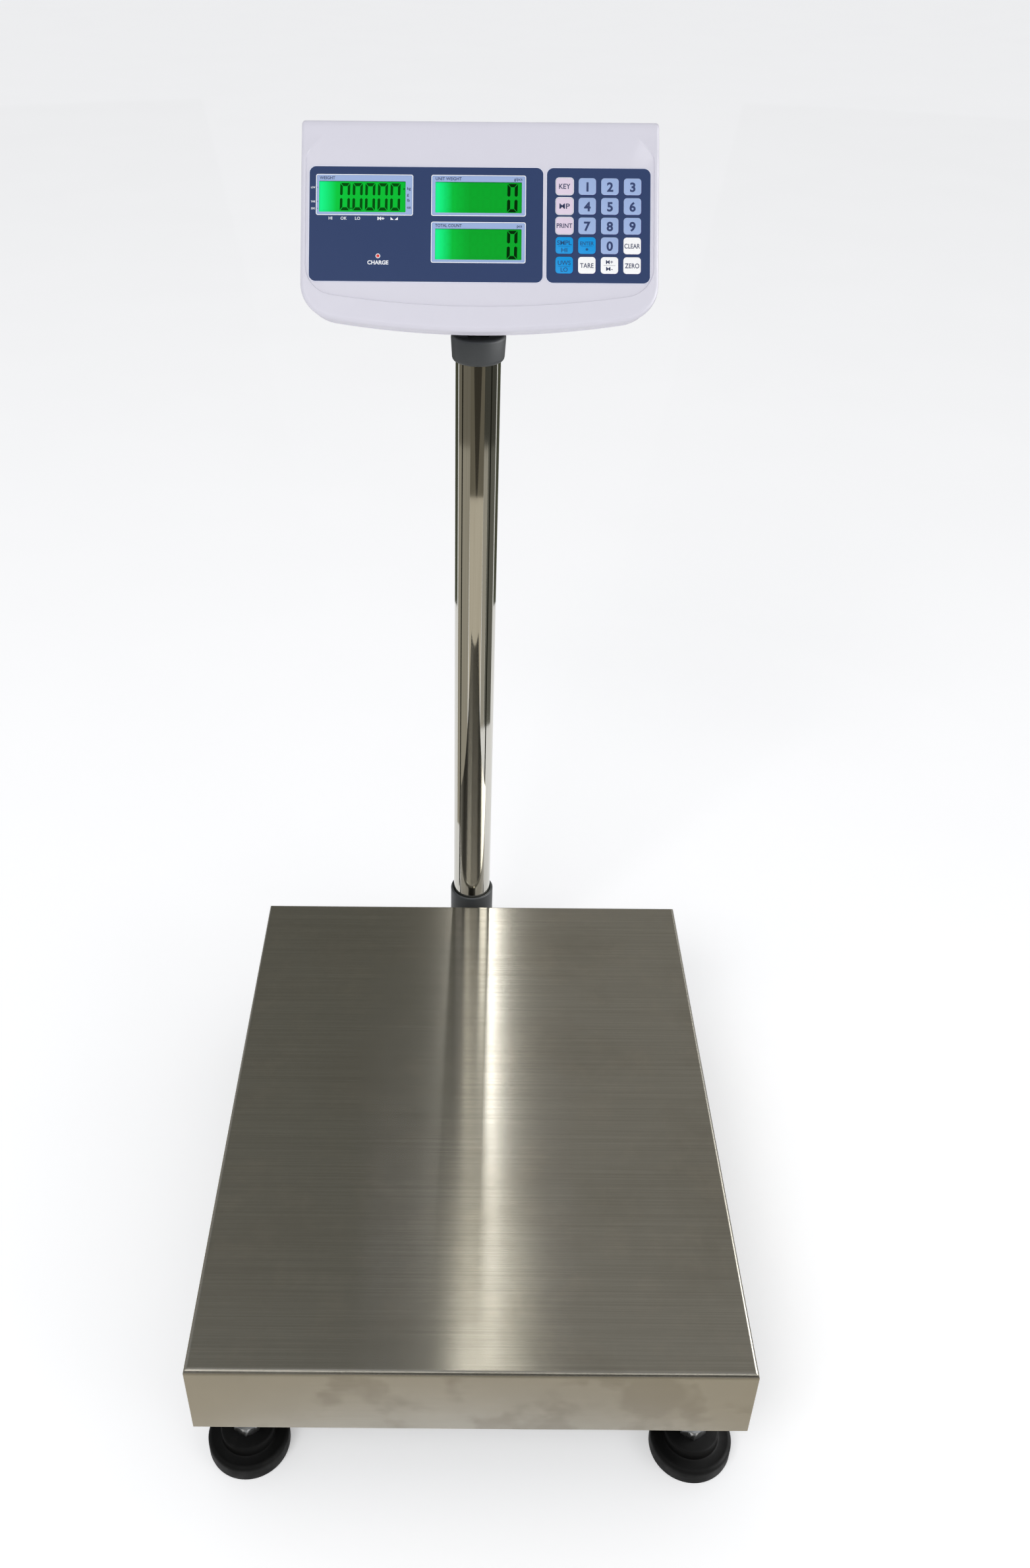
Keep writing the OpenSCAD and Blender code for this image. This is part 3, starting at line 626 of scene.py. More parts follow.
def lcd_windows():
    """The three display windows: the modules' front faces in the head's frame, left one first."""
    top = head_span("lcd_modules")[1].z
    to_head = HEAD.inverted()
    mesh = NODES["lcd_modules"].data
    groups = []
    for face in mesh.polygons:
        corners = [to_head @ mesh.vertices[i].co for i in face.vertices]
        if min(p.z for p in corners) < top - 0.05 * MM:
            continue
        group = {(round(p.x, 5), round(p.y, 5)) for p in corners}
        for other in [g for g in groups if g & group]:
            group |= other
            groups.remove(other)
        groups.append(group)
    spans = [
        (
            Vector((min(x for x, _ in group), min(y for _, y in group), top)),
            Vector((max(x for x, _ in group), max(y for _, y in group), top)),
        )
        for group in groups
    ]
    return sorted(spans, key=lambda span: (round(span[0].x, 2), -span[0].y))


LCDS = lcd_windows()
LCD_ENDS = [(LCDS[0][0].x, LCDS[0][1].x), (LCDS[1][0].x, LCDS[1][1].x)]
LED = sum(head_span("charge_led"), Vector()) / 2
DISPLAY_LABEL = head_span("display_label")
KEYPAD_LABEL = head_span("keypad_label")
PRINT_TOP = DISPLAY_LABEL[1].z
PAN_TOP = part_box("weighing_pan")[1].z
PAN_MID = middle("weighing_pan")


# ---------- finishes ----------

CASE_PLASTIC = moulded_plastic("case_plastic", linear(220, 218, 229), 0.46, 1500, 0.00001, 0.05)
DARK_PLASTIC = moulded_plastic("dark_plastic", linear(66, 69, 71), 0.5, 1100, 0.00003, 0.2)
moulded_plastic("black_plastic", linear(34, 34, 35), 0.36, 900, 0.00001)
moulded_plastic("battery_case", linear(52, 52, 55), 0.5, 700, 0.00003)
moulded_plastic("rocker_red", linear(170, 22, 22), 0.3, 900, 0.000006)
moulded_plastic("circuit_board", linear(30, 104, 52), 0.3, 600, 0.00002, 0.3)
moulded_plastic("cable_jacket", linear(38, 38, 38), 0.5, 800, 0.00002)
LED_RED = moulded_plastic("led_red", linear(226, 30, 8), 0.25, 500, 0.000005)
NAVY = printed("overlay_navy", linear(49, 66, 106), 0.3, 0.01, 0.12)
BEZEL_BLUE = printed("print_periwinkle", linear(160, 182, 224))
PRINT_WHITE = printed("print_white", linear(243, 245, 250))
PRINT_PALE = printed("print_pale_edge", linear(226, 228, 242))
PRINT_NAVY = printed("print_navy", linear(48, 58, 94))
# painted shadow: the dark navy that stands for the shade the raised keys cast on the overlay
PAINTED_KEY_SHADOW = printed("painted_key_shadow", linear(46, 48, 106))
PRINT_DIGIT = printed("print_digit", linear(52, 66, 110))
PRINT_MAUVE = printed("print_mauve_line", linear(206, 186, 212))
CYAN_TEXT = printed("print_blue_text", linear(28, 84, 134))
printed("key_blue", linear(162, 184, 226))
printed("key_pink", linear(229, 213, 231))
printed("key_cyan", linear(0, 152, 226))
printed("key_white", linear(255, 255, 255))
backlit_lcd("lcd_green", 0.45)
LCD_INK = printed("lcd_ink", linear(0, 78, 12), 0.45, 0.04, 0.02)
LCD_DARK_INK = printed("lcd_dark_ink", linear(0, 44, 4), 0.45, 0.04, 0.02)
LCD_GHOST = backlit_lcd("lcd_ghost", 0.4)
PAN_STEEL = brushed_pan()
POLE_STEEL = mirror_steel()
ZINC = plated_steel("zinc_steel", linear(196, 198, 200), 0.3)
plated_steel("port_metal", linear(204, 204, 204), 0.26)
plated_steel("cell_aluminium", linear(216, 218, 220), 0.34)
stoved_paint()
RUBBER = moulded_rubber()

for part in frame["record"]["subparts"]:
    mesh = NODES[part["node"]].data
    mesh.materials.clear()
    mesh.materials.append(FINISHES[part["material_slot"]])


# ---------- indicator shells ----------


def front_shell():
    """Front shell: rounded rim, raised border that fades at the top, flat panel with windows."""
    build = bmesh.new()

    def lifted(ring, drop=0.0):
        return [
            build.verts.new((x, v, border_height(x, v) + top_lip(v) - drop)) for x, v in ring
        ]

    round_edge = rounding(EDGE, (15, 30, 45, 60, 75, 90))
    rings = matched(
        [case_outline(DRAFT), case_outline()]
        + [case_outline(inset) for inset, _ in round_edge]
        + [panel_outline(-STEP_WIDTH), panel_outline(-0.5 * STEP_WIDTH), panel_outline()]
    )
    loops = [ring_at(build, rings[0], -FRONT_DEPTH), lifted(rings[1], EDGE)]
    loops += [lifted(ring, drop) for ring, (_, drop) in zip(rings[2:], round_edge)]
    border_steps = 10
    for i in range(1, border_steps + 1):
        part = i / border_steps
        loops.append(lifted([
            (a[0] + (b[0] - a[0]) * part, a[1] + (b[1] - a[1]) * part)
            for a, b in zip(rings[7], rings[8])
        ]))
    for share, ring in ((0.5, rings[9]), (1.0, rings[10])):
        loops.append([
            build.verts.new((x, v, border_height(x, v) * (1 - share) - PANEL_DEPTH * share))
            for x, v in ring
        ])
    for lower, upper in zip(loops, loops[1:]):
        wall(build, lower, upper)
    # flat panel inside the step, with holes for the displays, keys and lamp
    holes = [window(span, 0.5 * MM) for span in LCDS]
    holes += [window(span, KEY_GAP) for span in KEY_SPAN.values()]
    holes.append(circle(LED.x, LED.y, 2.5 * MM, 24))
    rims = [loops[-1]]
    for hole in holes:
        rims.append(ring_at(build, hole, -PANEL_DEPTH))
        wall(build, ring_at(build, hole, -PANEL_DEPTH - 2.4 * MM), rims[-1])
    edges = [build.edges.get(pair) for rim in rims for pair in zip(rim, rim[1:] + rim[:1])]
    bmesh.ops.triangle_fill(build, edges=edges, use_beauty=True)
    # inner skin behind the wall, so that the shell has thickness
    back_rim = [(x * 0.982, RAY_CENTRE + (v - RAY_CENTRE) * 0.972) for x, v in rings[0]]
    wall(build, ring_at(build, back_rim, -FRONT_DEPTH), loops[0])
    return finish_mesh("front_shell", build, CASE_PLASTIC, 40, HEAD)


dress(front_shell(), "head", "case_plastic", "front_case")


def softened(name, node, width, material):
    """A copy of a CAD node with its sharp edges rounded over."""
    build = bmesh.new()
    build.from_mesh(NODES[node].data)
    bmesh.ops.remove_doubles(build, verts=build.verts, dist=1e-6)
    bmesh.ops.dissolve_limit(
        build, angle_limit=math.radians(0.6), verts=build.verts, edges=build.edges
    )
    sharp = [
        edge for edge in build.edges
        if len(edge.link_faces) == 2 and edge.calc_face_angle(0) > math.radians(28)
    ]
    bmesh.ops.bevel(
        build, geom=sharp, offset=width, segments=3, profile=0.5, affect="EDGES",
        clamp_overlap=True,
    )
    return finish_mesh(name, build, material, 32)


def rear_shell():
    """The rear shell, drawn in a little towards the parting line, to meet the front one."""
    made = softened("rear_shell", "rear_case", 0.9 * MM, CASE_PLASTIC)
    to_head = HEAD.inverted()
    for vertex in made.data.vertices:
        place = to_head @ vertex.co
        part = min(max((place.z + FRONT_DEPTH + 12 * MM) / (10 * MM), 0), 1)
        pull = DRAFT * part * part * (3 - 2 * part)
        place.x *= 1 - pull / (CASE_W / 2)
        place.y *= 1 - pull / (CASE_H / 2)
        vertex.co = HEAD @ place
    return made


dress(rear_shell(), "head", "case_plastic", "rear_case")


# ---------- overlays ----------

LAYER = 0.03 * MM          # each printed layer lies this far over the one below


def label_outline(span, grow=0.0):
    x, v, w, h = middle_and_size(span, grow)
    return rounded_rectangle(w, h, LABEL_R + grow, x, v, 8)


def bezel(index):
    """Middle and size of the pale frame round a display, from its window."""
    x, v, w, h = middle_and_size(LCDS[index])
    shift, wider = (1.65 * MM, 8.0 * MM) if index == 0 else (0.0, 6.2 * MM)
    return x + shift, v + 1.36 * MM, w + wider, h + 7.6 * MM


def overlay(name, span, holes):
    return face_piece(name, NAVY, (label_outline(span), span[0].z, span[1].z, 0.0, holes))


def display_overlay():
    """Navy overlay with a hole for the lamp and clear windows, seen as real openings."""
    holes = [window(span) for span in LCDS]
    holes.append(circle(LED.x, LED.y, 1.6 * MM))
    return overlay("display_overlay", DISPLAY_LABEL, holes)


def keypad_overlay():
    holes = [
        rounded_area(middle_and_size(span, 0.1 * MM), 0, 2.5, 5) for span in KEY_SPAN.values()
    ]
    return overlay("keypad_overlay", KEYPAD_LABEL, holes)


def pale_edges():
    """Thin pale border of each overlay, showing round its navy field."""
    shapes = []
    for span in (DISPLAY_LABEL, KEYPAD_LABEL):
        shapes.append((
            label_outline(span, 0.55 * MM), span[0].z, span[1].z - 0.06 * MM, 0.0,
            [label_outline(span, -0.1 * MM)],
        ))
    return face_piece("overlay_edges", PRINT_PALE, *shapes)


dress(display_overlay(), "head", "overlay_navy", "display_label")
dress(keypad_overlay(), "head", "overlay_navy", "keypad_label")
dress(pale_edges(), "head", "overlay_navy")


def bezels():
    """White outline, periwinkle field and fine inner line round each window."""
    white, blue, lines = [], [], []
    for index, span in enumerate(LCDS):
        area = bezel(index)
        hole = window(span)
        white.append((
            rounded_area(area, 0, 1.5), PRINT_TOP - 0.1 * MM, PRINT_TOP + LAYER, 0.0, [hole]
        ))
        blue.append((
            rounded_area(area, 1.2, 1.0), PRINT_TOP, PRINT_TOP + 2 * LAYER, 0.0, [hole]
        ))
        lines.append((
            rounded_area(area, 1.9, 0.7), PRINT_TOP, PRINT_TOP + 2.4 * LAYER, 0.0,
            [rounded_area(area, 2.15, 0.6)],
        ))
    return merge("display_bezels", [
        face_piece("bezel_white", PRINT_WHITE, *white),
        face_piece("bezel_blue", BEZEL_BLUE, *blue),
        face_piece("bezel_line", printed("print_slate_line", linear(118, 140, 184)), *lines),
    ])


dress(bezels(), "head", "overlay_navy")


# ---------- displays ----------

GLASS = head_span("lcd_modules")[1].z
DIGIT_LEAN = 0.018         # the digits lean slightly to the right


def segment_shapes(x, v, w, h, names="abcdef", bar_share=0.26):
    """Outlines of the lit bars of one seven-bar digit, centred on (x, v)."""
    bar, cap, gap = bar_share * w, 0.115 * h, 0.035 * w
    left, right = -w / 2, w / 2
    top, waist = h / 2, 0.045 * h
    point = 0.4 * bar
    shapes = {
        "a": [(left + gap * 2, top), (right - gap * 2, top), (right - bar - gap, top - cap),
              (left + bar + gap, top - cap)],
        "f": [(left, top - gap), (left + bar, top - cap - gap), (left + bar, waist + point),
              (left + bar / 2, waist), (left, waist + point)],
    }
    for name, source, across, up in (
        ("d", "a", 1, -1), ("e", "f", 1, -1), ("b", "f", -1, 1), ("c", "e", -1, 1)
    ):
        shapes[name] = [(across * px, up * py) for px, py in reversed(shapes[source])]
    shapes["g"] = [(left + bar * 0.7, 0), (left + bar, cap * 0.45), (right - bar, cap * 0.45),
                   (right - bar * 0.7, 0), (right - bar, -cap * 0.45), (left + bar, -cap * 0.45)]
    return [
        [(x + px + DIGIT_LEAN * py, v + py) for px, py in shapes[name]] for name in names
    ]


def lcd_marks():
    """Lit digits and signs on the glass, with the unlit digits showing faintly."""
    thin = (GLASS, GLASS + 0.02 * MM)
    faint = (GLASS, GLASS + 0.01 * MM)
    first, second, third = LCDS
    x, v, _, _ = middle_and_size(first)
    digits, strong, ghosts = [], [], []
    for i in range(5):
        digits += segment_shapes(x + (-13 + 9.4 * i) * MM, v + 0.15 * MM, 7.5 * MM, 20.6 * MM)
    digits.append(circle(x - 8.5 * MM, v - 8.6 * MM, 0.55 * MM, 12))
    digits.append([
        (x + 30.7 * MM, v + 7.0 * MM), (x + 30.7 * MM, v + 5.4 * MM), (x + 32 * MM, v + 6.2 * MM)
    ])
    ghosts.append(rounded_rectangle(1.6 * MM, 1.5 * MM, 0.5 * MM, x - 28.8 * MM, v - 9.9 * MM, 3))
    for span in (second, third):
        wx, wv, _, _ = middle_and_size(span)
        strong += segment_shapes(wx + 25.3 * MM, wv, 7.8 * MM, 21.4 * MM, bar_share=0.3)
        for i in range(5):
            ghosts += segment_shapes(
                wx + (25.3 - 9.5 * (i + 1)) * MM, wv, 7.6 * MM, 19.4 * MM, "abcdefg"
            )
    return merge("lcd_marks", [
        face_piece("lit", LCD_INK, *[(outline, *thin) for outline in digits]),
        face_piece("lit_dark", LCD_DARK_INK, *[(outline, *thin) for outline in strong]),
        face_piece("unlit", LCD_GHOST, *[(outline, *faint) for outline in ghosts]),
    ])


dress(lcd_marks(), "head", "lcd_green")


# ---------- printed words on the display overlay ----------


def display_words():
    first, second, third = LCDS
    x, v, _, _ = middle_and_size(LCDS[0])
    on_bezel = PRINT_TOP + 3 * LAYER
    on_navy = PRINT_TOP + LAYER
    words = []

    def word(text, wx, wv, cap, material, depth, weight=0.0, width=None, align="CENTER"):
        words.append(lettering(
            f"word_{len(words)}", text, wx, wv, cap * MM, material, depth, weight,
            width * MM if width else None, align,
        ))

    start = first[0].x + 0.4 * MM
    word("WEIGHT", start, v + 14 * MM, 2.4, PRINT_NAVY, on_bezel, 0.02, 11.6, "LEFT")
    for text, rise in (("kg", 6.4), ("g", 1.9), ("lb", -2.5), ("oz", -7.7)):
        word(text, x + 33.4 * MM, v + rise * MM, 2.2, PRINT_NAVY, on_bezel, 0.02, align="LEFT")
    for text, rise, wide in (("LOW", 6.7, 3.3), ("TARE", -3.9, 3.3), ("ZERO", -9.1, 3.2)):
        word(text, x - 36.8 * MM, v + rise * MM, 1.35, PRINT_WHITE, on_navy, 0.03, wide)
        word(">", x - 33.5 * MM, v + rise * MM, 1.3, PRINT_NAVY, on_bezel, 0.04, 0.8)
    for text, shift in (("HI", -23.7), ("OK", -13.8), ("LO", -3.4)):
        word(text, x + shift * MM, v - 16.3 * MM, 2.3, PRINT_WHITE, on_navy, 0.02)
    word("M+", x + 14.0 * MM, v - 16.3 * MM, 2.3, PRINT_WHITE, on_navy, 0.07, 5.2)
    word("CHARGE", LED.x, LED.y - 4.8 * MM, 3.0, PRINT_WHITE, on_navy, 0.045, 15.7)
    for (window_low, window_high), heading, unit, wide in (
        (second, "UNIT WEIGHT", "g/pcs", 19.4), (third, "TOTAL COUNT", "pcs", 19.8)
    ):
        row = (window_low.y + window_high.y) / 2 + 14 * MM
        word(heading, window_low.x, row, 2.4, PRINT_NAVY, on_bezel, 0.02, wide, "LEFT")
        word(unit, window_high.x + 0.3 * MM, row, 2.2, PRINT_NAVY, on_bezel, 0.02, None, "RIGHT")
    left, middle_x, right = (x + offset * MM for offset in (21.2, 23.9, 26.7))
    low_v, high_v = v - 17.4 * MM, v - 15.2 * MM
    level = (on_navy, on_navy + 0.02 * MM)
    words.append(face_piece(
        "level_sign", PRINT_WHITE,
        ([(left, low_v), (middle_x - 0.3 * MM, low_v), (left, high_v)], *level),
        ([(middle_x + 0.3 * MM, low_v), (right, low_v), (right, high_v)], *level),
    ))
    words.append(face_piece("lamp_ring", PRINT_WHITE, (
        circle(LED.x, LED.y, 1.75 * MM), PRINT_TOP - 0.1 * MM, on_navy + 0.02 * MM, 0.0,
        [circle(LED.x, LED.y, 1.2 * MM)],
    )))
    return merge("display_words", words)


dress(display_words(), "head", "overlay_navy")


def lamp():
    """Domed lens of the charge lamp."""
    build = bmesh.new()
    base = head_span("charge_led")[0].z
    radius = 1.4 * MM
    profile = [(0, base), (radius, base), (radius, PRINT_TOP - 0.3 * MM)]
    for turn in map(math.radians, (20, 40, 60, 78)):
        height = PRINT_TOP - 0.3 * MM + 0.36 * MM * math.sin(turn)
        profile.append((radius * math.cos(turn), height))
    lathe(build, profile + [(0, PRINT_TOP + 0.06 * MM)], 32, (LED.x, LED.y), closed=False)
    return finish_mesh("charge_lamp", build, LED_RED, place=HEAD)


dress(lamp(), "head", "led_red", "charge_led")


# ---------- keys ----------

KEY_LEGENDS = {
    "key_code": [("KEY", 0.1, 4.0, 8.5)],
    "key_memory_plus": [("MP", 0.0, 4.0, 7.8)],
    "key_print": [("PRINT", 0.1, 3.5, 11.7)],
    "key_sample": [("SMPL", 2.1, 3.5, 10.9), ("HI", -3.4, 3.2, 4.4)],
    "key_point": [("ENTER", 1.7, 2.9, 10.2)],
    "key_clear": [("CLEAR", -0.1, 3.6, 11.7)],
    "key_unit_weight": [("UWS", 1.8, 3.4, 9.6), ("LO", -3.3, 3.3, 5.3)],
    "key_tare": [("TARE", -0.1, 3.6, 10.1)],
    "key_memory_clear": [("M+", 2.6, 2.9, 5.3), ("M-", -2.5, 2.9, 5.0)],
    "key_zero": [("ZERO", -0.1, 3.7, 10.7)],
}
DIVIDERS = {
    "key_sample": -0.7, "key_point": -0.6, "key_unit_weight": -0.95, "key_memory_clear": -0.05,
}
KEY_SLOTS = {
    part["node"]: part["material_slot"] for part in frame["record"]["subparts"]
    if part["node"] in KEYS
}


def key_surrounds():
    """Painted shadows: dark bands at the lower right of the keys, where the raised keys cast shade; and pale
    outlines of the pink keys, printed round the keys.
    """
    shadows, outlines = [], []
    level = PRINT_TOP + LAYER
    for name, span in KEY_SPAN.items():
        x, v, w, h = middle_and_size(span, 0.12 * MM)
        hole = rounded_rectangle(w, h, 2.5 * MM, x, v, 7)
        edge = []
        for px, py in hole:
            away = Vector((px - x, py - v))
            # painted shadow: the dark band lies only on each key's lower right, where its shade falls
            shift = Vector((0.42, -0.42)) * MM
            if shift.dot(away) <= 0:
                shift = away.normalized() * 0.03 * MM
            edge.append((px + shift.x, py + shift.y))
        shadows.append((edge, PRINT_TOP - 0.01 * MM, level, 0.0, [hole]))
        if KEY_SLOTS[name] == "key_pink":
            outline = rounded_rectangle(w + 0.5 * MM, h + 0.7 * MM, 2.75 * MM, x, v, 7)
            outlines.append((outline, PRINT_TOP - 0.01 * MM, level + 0.02 * MM, 0.0, [hole]))
    return merge("key_surrounds", [
        face_piece("key_shadows", PAINTED_KEY_SHADOW, *shadows),
        face_piece("key_outlines", PRINT_WHITE, *outlines),
    ])


dress(key_surrounds(), "head", "overlay_navy")


RIM_INKS = {
    "key_blue": printed("print_edge_blue", linear(176, 196, 234)),
    "key_cyan": printed("print_edge_cyan", linear(24, 164, 232)),
    "key_white": PRINT_WHITE,
}


def key_pad(name):
    """One printed key: coloured field, dome nub, rim, divider and legend."""
    low, high = KEY_SPAN[name]
    area = x, v, _, _ = middle_and_size(KEY_SPAN[name])
    top = high.z
    face = top + 0.02 * MM
    slot = KEY_SLOTS[name]
    ink = CYAN_TEXT if slot == "key_cyan" else PRINT_NAVY
    body = rounded_area(area, 0, 2.4, 7)
    prints = [
        (FINISHES[slot], (body, top - 1.9 * MM, top, 0.08 * MM)),
        (FINISHES[slot], (circle(x, v, 2 * MM), low.z, top - 1.88 * MM)),
    ]
    if slot == "key_pink":
        edge = rounded_area(area, 0.35, 2.2, 7)
        inner = rounded_area(area, 0.6, 2.1, 7)
        prints.append((PRINT_WHITE, (body, top, top + 0.01 * MM, 0.0, [edge])))
        prints.append((PRINT_MAUVE, (edge, top, top + 0.012 * MM, 0.0, [inner])))
    else:
        edge = rounded_area(area, 0.3, 2.25, 7)
        prints.append((
            RIM_INKS[slot], (body, top - 0.02 * MM, top + 0.004 * MM, 0.0, [edge])
        ))
    if name in DIVIDERS:
        bar = rounded_rectangle(8.9 * MM, 0.22 * MM, 0.05 * MM, x, v + DIVIDERS[name] * MM, 1)
        prints.append((ink, (bar, top, face)))
    if name == "key_point":
        prints.append((CYAN_TEXT, (circle(x, v - 2.9 * MM, 0.98 * MM), top, face)))
    pieces = [face_piece(name + "_print", material, shape) for material, shape in prints]
    if slot == "key_blue":
        pieces.append(lettering(
            name + "_legend", name[-1], x + 0.1 * MM, v - 0.1 * MM, 6.9 * MM, PRINT_DIGIT, face,
            0.045,
        ))
    for text, rise, cap, width in KEY_LEGENDS.get(name, []):
        pieces.append(lettering(
            name + "_legend", text, x, v + rise * MM, cap * MM, ink, face, 0.02, width * MM
        ))
    return dress(merge(name + "_pad", pieces), name, slot, name)


for key_name in KEYS:
    key_pad(key_name)


# ---------- pole, collar and neck ----------

POLE_LOW, POLE_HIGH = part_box("pole")
POLE_R = (POLE_HIGH.x - POLE_LOW.x) / 2
POLE_AT = (0.0, (POLE_LOW.y + POLE_HIGH.y) / 2)


def pole_tube():
    bore = POLE_R - 1.5 * MM
    lip = 0.4 * MM
    build = bmesh.new()
    lathe(build, [
        (bore, POLE_LOW.z), (POLE_R - lip, POLE_LOW.z), (POLE_R, POLE_LOW.z + lip),
        (POLE_R, POLE_HIGH.z - lip), (POLE_R - lip, POLE_HIGH.z), (bore, POLE_HIGH.z),
    ], 160, POLE_AT)
    return finish_mesh("pole_tube", build, POLE_STEEL)


def collar():
    """Moulded sleeve: a round lip on top with a small funnel between it and the pole."""
    low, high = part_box("pole_collar")
    outer = (high.x - low.x) / 2
    inner = POLE_R + 0.05 * MM
    lip = 1.3 * MM
    profile = [(inner, low.z), (outer - 0.6 * MM, low.z), (outer, low.z + 0.6 * MM)]
    profile += [(outer - inset, high.z - drop) for inset, drop in rounding(lip, range(0, 160, 20))]
    profile += [(inner + 0.25 * MM, high.z - 1.7 * MM), (inner, high.z - 2.6 * MM)]
    build = bmesh.new()
    lathe(build, profile, 128, POLE_AT)
    return finish_mesh("collar_sleeve", build, DARK_PLASTIC, 50)


def neck_cap():
    """Cap on the pole: tapered skirt with a moulding seam, and two ears for the tilt bolt."""
    low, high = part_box("neck")
    tilt = JOINTS["head_tilt"]["pos_m"]
    swivel = JOINTS["head_swivel"]["pos_m"]
    ear_r = high.z - tilt[2]
    top = tilt[2] - 6 * MM
    wide = (high.x - low.x) / 2
    narrow = wide - 1.0 * MM
    socket = POLE_R + 0.05 * MM
    corner = 3.4 * MM
    profile = [
        (socket, swivel[2] + 0.3 * MM), (socket, low.z + 0.8 * MM), (socket + 0.5 * MM, low.z),
    ]
    profile += [
        (narrow - 0.72 * drop, low.z + inset)
        for inset, drop in rounding(corner, (15, 35, 55, 75, 90))
    ]
    profile += [
        (wide - 0.15 * MM, top - 2.2 * MM), (wide - 0.35 * MM, top - 1.0 * MM),
        (wide - 1.2 * MM, top - 0.2 * MM), (wide - 2.2 * MM, top), (17.5 * MM, top),
        (17.5 * MM, top - 0.4 * MM), (0, top - 0.4 * MM),
    ]
    build = bmesh.new()
    lathe(build, profile, 128, closed=False)
    # moulding seam down the front and the back
    for vertex in build.verts:
        radius = math.hypot(vertex.co.x, vertex.co.y)
        if radius > narrow - corner and abs(vertex.co.x) < 0.2 * MM:
            grow = 1 + 0.12 * MM / radius
            vertex.co.x *= grow
            vertex.co.y *= grow
    outline = arc_points(0, tilt[2], ear_r, 0, 180, 24)
    outline += [(-ear_r, top - 1.2 * MM), (ear_r, top - 1.2 * MM)]
    for side in (-1, 1):
        ear = bmesh.new()
        plate(ear, outline, 8.4 * MM, 16 * MM, 0.0, [circle(0, tilt[2], 3.02 * MM, 24)])
        ear.transform(Matrix(((0, 0, side, 0), (1, 0, 0, 0), (0, 1, 0, 0), (0, 0, 0, 1))))
        mesh = bpy.data.meshes.new("ear")
        ear.to_mesh(mesh)
        ear.free()
        build.from_mesh(mesh)
        bpy.data.meshes.remove(mesh)
    made = finish_mesh("neck_cap", build, DARK_PLASTIC, 40)
    made.data.transform(Matrix.Translation((*POLE_AT, 0)))
    return made


dress(pole_tube(), "base", "pole_stainless", "pole")
dress(collar(), "base", "dark_plastic", "pole_collar")
dress(neck_cap(), "neck", "dark_plastic", "neck")
dress(
    softened("tilt_bracket", "head_bracket", 0.5 * MM, ZINC), "head", "zinc_steel", "head_bracket"
)


# ---------- weighing pan ----------


def pan_sheet():
    """Folded pan: flat top, round bends and a skirt, all one sheet with thickness."""
    low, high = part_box("weighing_pan")
    half_w, half_d = (high.x - low.x) / 2, (high.y - low.y) / 2
    sheet, bend, corner = 1.5 * MM, 3.4 * MM, 0.7 * MM
    side_steps = (40, 50)
    build = bmesh.new()
    uv = build.loops.layers.uv.new("grain")

    def ring(inset, z):
        """Points round the pan, evenly spread along each side, with a small round corner."""
        radius = max(corner - inset, 0.05 * MM)
        a, b = half_w - inset - radius, half_d - inset - radius
        corners = [(a, b), (-a, b), (-a, -b), (a, -b)]
        points = []
        for i, (x, y) in enumerate(corners):
            points += arc_points(x, y, radius, 90 * i, 90 * i + 90, 5)
            end_x, end_y = points[-1]
            run_x, run_y = corners[(i + 1) % 4][0] - x, corners[(i + 1) % 4][1] - y
            count = side_steps[i % 2]
            points += [
                (end_x + run_x * k / count, end_y + run_y * k / count) for k in range(1, count)
            ]
        return ring_at(build, [(PAN_MID.x + x, PAN_MID.y + y) for x, y in points], z)

    inner = [
        ring(sheet + inset, high.z - sheet - drop)
        for inset, drop in rounding(bend - sheet, (90, 60, 30, 0))
    ]
    inner.append(ring(sheet, low.z))
    outer = [ring(0.0, z) for z in (low.z, low.z + 0.5 * MM, high.z - bend)]
    outer += [
        ring(inset, high.z - drop) for inset, drop in rounding(bend, (12, 25, 38, 51, 64, 77, 90))
    ]
    # rings that keep the top flat right up to the bend
    outer += [ring(bend + extra, high.z) for extra in (0.4 * MM, 3 * MM)]
    stack(build, inner + outer)
    for face in build.faces:
        for loop in face.loops:
            loop[uv].uv = (loop.vert.co.x, loop.vert.co.y + loop.vert.co.z)
    # slight unevenness of the folded skirt
    for vertex in build.verts:
        depth = (high.z - vertex.co.z) / (high.z - low.z)
        if depth > 0.05:
            x, y = vertex.co.x, vertex.co.y - PAN_MID.y
            bumps = noise.noise(Vector((vertex.co.x * 9, vertex.co.y * 9, 3)))
            push = abs(0.35 * MM * depth * bumps)
            vertex.co.x -= math.copysign(push, x) * (abs(x) > half_w - 3 * MM)
            vertex.co.y -= math.copysign(push, y) * (abs(y) > half_d - 3 * MM)
    return finish_mesh("pan_sheet", build, PAN_STEEL, 50)


dress(pan_sheet(), "pan", "pan_stainless", "weighing_pan")


# ---------- feet ----------


def threaded_rod(build, radius, low, high, pitch, centre):
    """A rod with a real thread: a ridge that climbs by its pitch each turn."""
    steps, levels = 32, 4 * int((high - low) / pitch)
    depth = 0.55 * pitch
    rings = []
    for level in range(levels + 1):
        rings.append([])
        for i in range(steps):
            angle = 2 * math.pi * i / steps
            phase = (level / 4 - i / steps) % 1
            r = radius - depth * abs(2 * phase - 1)
            rings[-1].append((centre[0] + r * math.cos(angle), centre[1] + r * math.sin(angle)))
        rings[-1] = ring_at(build, rings[-1], min(low + level * pitch / 4, high))
    stack(build, rings)


def hexagon(build, flats, low, high, centre):
    """Hexagon with its corners chamfered, as on a nut."""
    corner = flats / 2 / math.cos(math.radians(30))
    chamfer = 0.9 * MM
    rings = []
    for limit, z in (
        (flats / 2, low), (corner, low + chamfer), (corner, high - chamfer), (flats / 2, high)
    ):
        ring = []
        for bearing in range(0, 360, 10):
            angle = math.radians(bearing)
            across = flats / 2 / math.cos(math.radians((bearing + 30) % 60 - 30))
            r = min(across, limit)
            ring.append((centre[0] + r * math.cos(angle), centre[1] + r * math.sin(angle)))
        rings.append(ring_at(build, ring, z))
    stack(build, rings)


